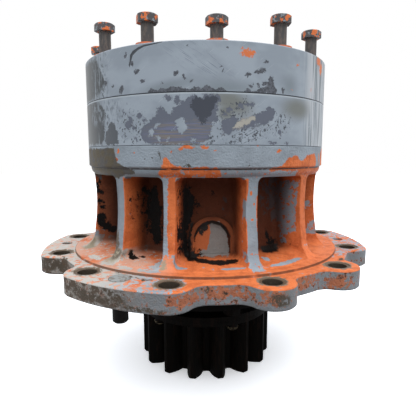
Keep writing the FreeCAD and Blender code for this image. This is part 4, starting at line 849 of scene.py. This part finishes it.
paint = Finish("weathered_black_oxide_steel", "#4a4847", 0.5)
place = paint.place
rust = noise_on(place["mm"], (4, 4, 12), 5.0, 0.7)
off_axis = way_to_hole(place, first_bolt, bolt_count, bolt_circle_mm)
normal = node(paint.tree, "ShaderNodeNewGeometry").outputs["Normal"]
facing = node(paint.tree, "ShaderNodeSeparateXYZ", {0: normal}).outputs["Z"]
heads = either(above(off_axis, shank_radius_mm + 0.4, 0.3), above(facing, looks_up, 0.1))
paint.coat(above(rust, 0.52, 0.08), "#625a54", 0.65, 0.05)
paint.coat(heads, "#524f4f", 0.55)
scuff = noise_on(place["mm"], 4, 4.0)
paint.coat([heads, above(scuff, 0.57, 0.03)], "#858c90", 0.45)
flake = noise_on(place["mm"], 11, 5.0, 0.6)
share = lay_share(0.0, [heads], 0.4)
paint.coat(flaked(share, flake), orange, 0.55, 0.12)
bolt_steel = paint.close(rounding=0.8, metallic=0.2, gloss=0.25)

paint = Finish("orange_painted_washer", "#cf7049", 0.55)
place = paint.place
flake = noise_on(place["mm"], 5, 6.0, 0.65)
paint.coat(above(flake, 0.57, 0.02), "#8f8a86", 0.5, -0.15)
paint.coat(above(flake, 0.66, 0.02), "#4a3c34", 0.6, -0.2)
washer_paint = paint.close(rounding=0.5, gloss=0.25)
print("fasteners:", bolt_steel.name, "and", washer_paint.name)

# %% [markdown]
# ## Oily steel below
#
# The pinion is a carburised forging that ran in open-gear grease. What is left is a thin dark film, a little
# shiny where teeth rubbed, and its colour is darker still, nearly black as painted shade of the flange above.

# %% Build the greased steel and the dried grease
# The near-black base colour is partly grease and partly painted shade.
paint = Finish("greased_shaded_forged_steel", "#080706", 0.6)
place = paint.place
film = noise_on(place["mm"], 14, 5.0)
streak = noise_on(place["mm"], (5, 5, 30))
paint.coat(above(film, 0.54, 0.08), "#0d0a08", 0.7, 0.1)
paint.coat(above(streak, 0.58, 0.06), "#140e0b", 0.6, 0.05)
paint.roughen(noise_on(place["mm"], 1.6, 3.0), 0.12)
greased_shaded_steel = paint.close(rounding=1.2, gloss=0.02)

paint = Finish("dried_open_gear_grease", "#2e2820", 0.8)
place = paint.place
crumb = noise_on(place["mm"], 2.5, 4.0)
paint.coat(above(crumb, 0.5, 0.05), "#5d5340", 0.85, 0.4)
paint.coat(above(crumb, 0.6, 0.03), "#8d8266", 0.85, 0.2)
grease_crust = paint.close(rounding=0.5, gloss=0.1)
print("grease:", grease_crust.name)

# %% [markdown]
# ## Clean metal inside
#
# The parts inside ran in clean oil: ground and hobbed steel, machined iron, and brass cages. One recipe serves
# them all, because they differ only in colour, in roughness and in how coarse their tool marks are.

# %% Build the machined finishes
def machined(name, colour, shade, roughness, metallic, grain):
    """Machined or ground metal with an oil film: tool marks, cloudy film, softened edges."""
    paint = Finish(name, colour, roughness)
    place = paint.place
    marks = noise_on(place["mm"], grain, 2.0)
    film = noise_on(place["mm"], 22, 3.0)
    paint.coat(above(film, 0.52, 0.12), shade, roughness + 0.12)
    paint.roughen(marks, 0.03)
    return paint.close(rounding=0.5, metallic=metallic)


finishes = {
    "housing_paint": housing_paint,
    "bolt_steel": bolt_steel,
    "washer_paint": washer_paint,
    "dark_steel": greased_shaded_steel,
    "gear_steel": machined("oiled_hobbed_gear_steel", "#8b8d90", "#6f7072", 0.32, 1.0, (1.5, 1.5, 12)),
    "carrier_iron": machined("oiled_machined_iron", "#77787a", "#5d5e60", 0.42, 1.0, 2.2),
    "bearing_steel": machined("ground_bearing_steel", "#b9bbbe", "#a0a2a5", 0.2, 1.0, 0.8),
    "cage_brass": machined("machined_brass", "#b99552", "#9c7b41", 0.35, 1.0, 1.2),
    "seal_rubber": machined("nitrile_rubber", "#17181a", "#202123", 0.6, 0.0, 1.0),
}
print(len(finishes), "finishes by slot")

# %% [markdown]
# ## The locating pins
#
# The two pins in the flange were pressed in after painting. Their heads were never coated, so they show grey
# steel with a bloom of fine rust, brighter than anything near them.

# %% Build the pins' finish
paint = Finish("bare_turned_steel", "#8b8e8b", 0.45)
place = paint.place
bloom = noise_on(place["mm"], 5, 5.0)
paint.coat(above(bloom, 0.55, 0.05), "#77716a", 0.6, -0.05)
# Painted shade: near-black where the pins reach below the flange.
paint.coat(below(place["height"], -1, 0.5), "#0d0b0a", 0.6)
pin_steel = paint.close(rounding=1.0, gloss=0.05)
print("pins:", pin_steel.name)

# %% [markdown]
# ## Give every part its finish
#
# The record names a material slot for each node, which saves a long list here. The two ring gears share a slot
# but not their wear, so they get their own enamels, and the locating pins were left bare. The seal's sleeve is
# steel under a dark film. The screws and snap rings inside are phosphated spring steel that never met paint.

# %% Assign the finishes
slot_of = {entry["node"]: entry["material_slot"] for entry in frame["record"]["subparts"]}
sleeve_steel = machined("filmed_sleeve_steel", "#57534e", "#2c2925", 0.45, 0.4, 1.2)
spring_steel = machined("phosphated_spring_steel", "#55575b", "#434549", 0.4, 0.9, 1.0)
own_finish = {"first_ring_gear": upper_enamel, "second_ring_gear": lower_enamel, "locating_pins": pin_steel,
              "seal_sleeve": sleeve_steel, "first_pin_rings": spring_steel, "second_pin_rings": spring_steel,
              "end_plate_screws": spring_steel}
for name, thing in nodes.items():
    finish = own_finish.get(name) or finishes[slot_of[name]]
    thing.data.materials.clear()
    thing.data.materials.append(finish)
print("dressed", len(nodes), "nodes")

# %% [markdown]
# ## Crusts of dried grease
#
# Grease that the pinion flung off has dried round the guard ring's screws in crumbly lumps, no two of one
# size. Each is a small ball, pulled about point by point with a fixed seed, smoothed, flattened and subdivided.
# It sits round a screw's head, so it turns with the pinion.

# %% Model the crusts round the guard ring's screws
screw_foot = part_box("guard_ring_screws")[0].z
screw_circle = 0.0975
ball_radius = 0.009
ball_pull = 0.0035
crust_lift = 0.002
first_screw = 25
screw_count = 5
crust_sizes = ((1.0, 1.15), (0.62, 0.8), (0.8, 0.7), (0.55, 0.9), (0.95, 1.25))
for number, (wide, tall) in enumerate(crust_sizes):
    angle = math.radians(first_screw + 360 / screw_count * number)
    centre = Vector((screw_circle * math.sin(angle), -screw_circle * math.cos(angle), screw_foot + crust_lift))
    bpy.ops.object.select_all(action="DESELECT")
    bpy.ops.mesh.primitive_ico_sphere_add(subdivisions=3, radius=ball_radius, location=(0, 0, 0))
    crust = bpy.context.object
    crust.name = "grease_crust_%d" % (number + 1)
    bpy.ops.object.mode_set(mode="EDIT")
    bpy.ops.mesh.select_all(action="SELECT")
    bpy.ops.transform.vertex_random(offset=ball_pull, seed=11 + number)
    bpy.ops.mesh.vertices_smooth(factor=0.5, repeat=1)
    bpy.ops.transform.resize(value=(wide * 1.05, wide * 0.95, tall * 0.5))
    bpy.ops.transform.translate(value=centre)
    bpy.ops.object.mode_set(mode="OBJECT")
    swell = crust.modifiers.new("swell", "SUBSURF")
    swell.levels = swell.render_levels = 1
    bpy.ops.object.modifier_apply(modifier=swell.name)
    bpy.ops.object.shade_smooth()
    crust.data.materials.append(grease_crust)
    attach(crust, "output")
print(len(crust_sizes), "crusts at", round(screw_foot * MM, 1), "mm")

# %% [markdown]
# ## Floor
#
# The photograph was cut out on white, but the ground threw hardly any light back, which left the pinion black.
# So the floor is white where the camera or a reflection sees it, dark to other rays, and still catches a shadow.

# %% Set the stage
def seen_directly(tree):
    """1 for rays that come from the camera, from a gloss or through glass."""
    path = node(tree, "ShaderNodeLightPath")
    seen = path.outputs["Is Camera Ray"]
    for kind in ("Is Glossy Ray", "Is Transmission Ray"):
        seen = node(tree, "ShaderNodeMath", {0: seen, 1: path.outputs[kind]}, operation="MAXIMUM")
    return seen


scene = bpy.context.scene
scene.view_settings.view_transform = "Standard"
floor_height_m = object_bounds()[0][2]
floor_size_m = 12
bpy.ops.object.select_all(action="DESELECT")
bpy.ops.mesh.primitive_plane_add(size=floor_size_m, location=(0, 0, floor_height_m))
floor = bpy.context.object
floor.name = "studio_floor"
floor_paint, tree = new_material("pale_floor")
dark = node(tree, "ShaderNodeBsdfDiffuse", {"Color": "#2b2b2b"})
pale = node(tree, "ShaderNodeBsdfDiffuse", {"Color": "#ffffff"})
glow = node(tree, "ShaderNodeEmission", {"Color": "#ffffff", "Strength": 0.35})
white = node(tree, "ShaderNodeAddShader", {0: pale, 1: glow})
mixed = node(tree, "ShaderNodeMixShader", {0: seen_directly(tree), 1: dark, 2: white})
node(tree, "ShaderNodeOutputMaterial", {"Surface": mixed})
floor.data.materials.append(floor_paint)
print("floor at", round(floor_height_m, 4), "m")

# %% [markdown]
# ## Sky and lamp
#
# The sky was overcast, about three times brighter overhead than at the horizon. A wide lamp in front of and above
# the object gives the casting's pebbles a side that is brighter.

# %% Light the object
world = bpy.data.worlds.new("overcast")
world.use_nodes = True
world.node_tree.nodes.clear()
tree = world.node_tree
look = node(tree, "ShaderNodeTexCoord").outputs["Generated"]
lift = node(tree, "ShaderNodeSeparateXYZ", {0: look}).outputs["Z"]
zenith = 2.35
brightness = node(tree, "ShaderNodeMapRange", {"Value": lift, "To Min": zenith / 3, "To Max": zenith})
sky = node(tree, "ShaderNodeBackground", {"Color": "#f4f8ff", "Strength": brightness})
white = node(tree, "ShaderNodeBackground", {"Color": "#ffffff", "Strength": 1.0})
mixed = node(tree, "ShaderNodeMixShader", {0: seen_directly(tree), 1: sky, 2: white})
node(tree, "ShaderNodeOutputWorld", {"Surface": mixed})
scene.world = world

lamp_target = Vector((0, 0, 0.15))
key_data = bpy.data.lights.new("key", "AREA")
key_data.size = 1.6
key_data.energy = 28
key = bpy.data.objects.new("key", key_data)
scene.collection.objects.link(key)
key.location = (0.6, -1.4, 2.6)
key.rotation_euler = (lamp_target - key.location).to_track_quat("-Z", "Y").to_euler()
print("lamp", key.name, "at", round((key.location - lamp_target).length, 2), "m")
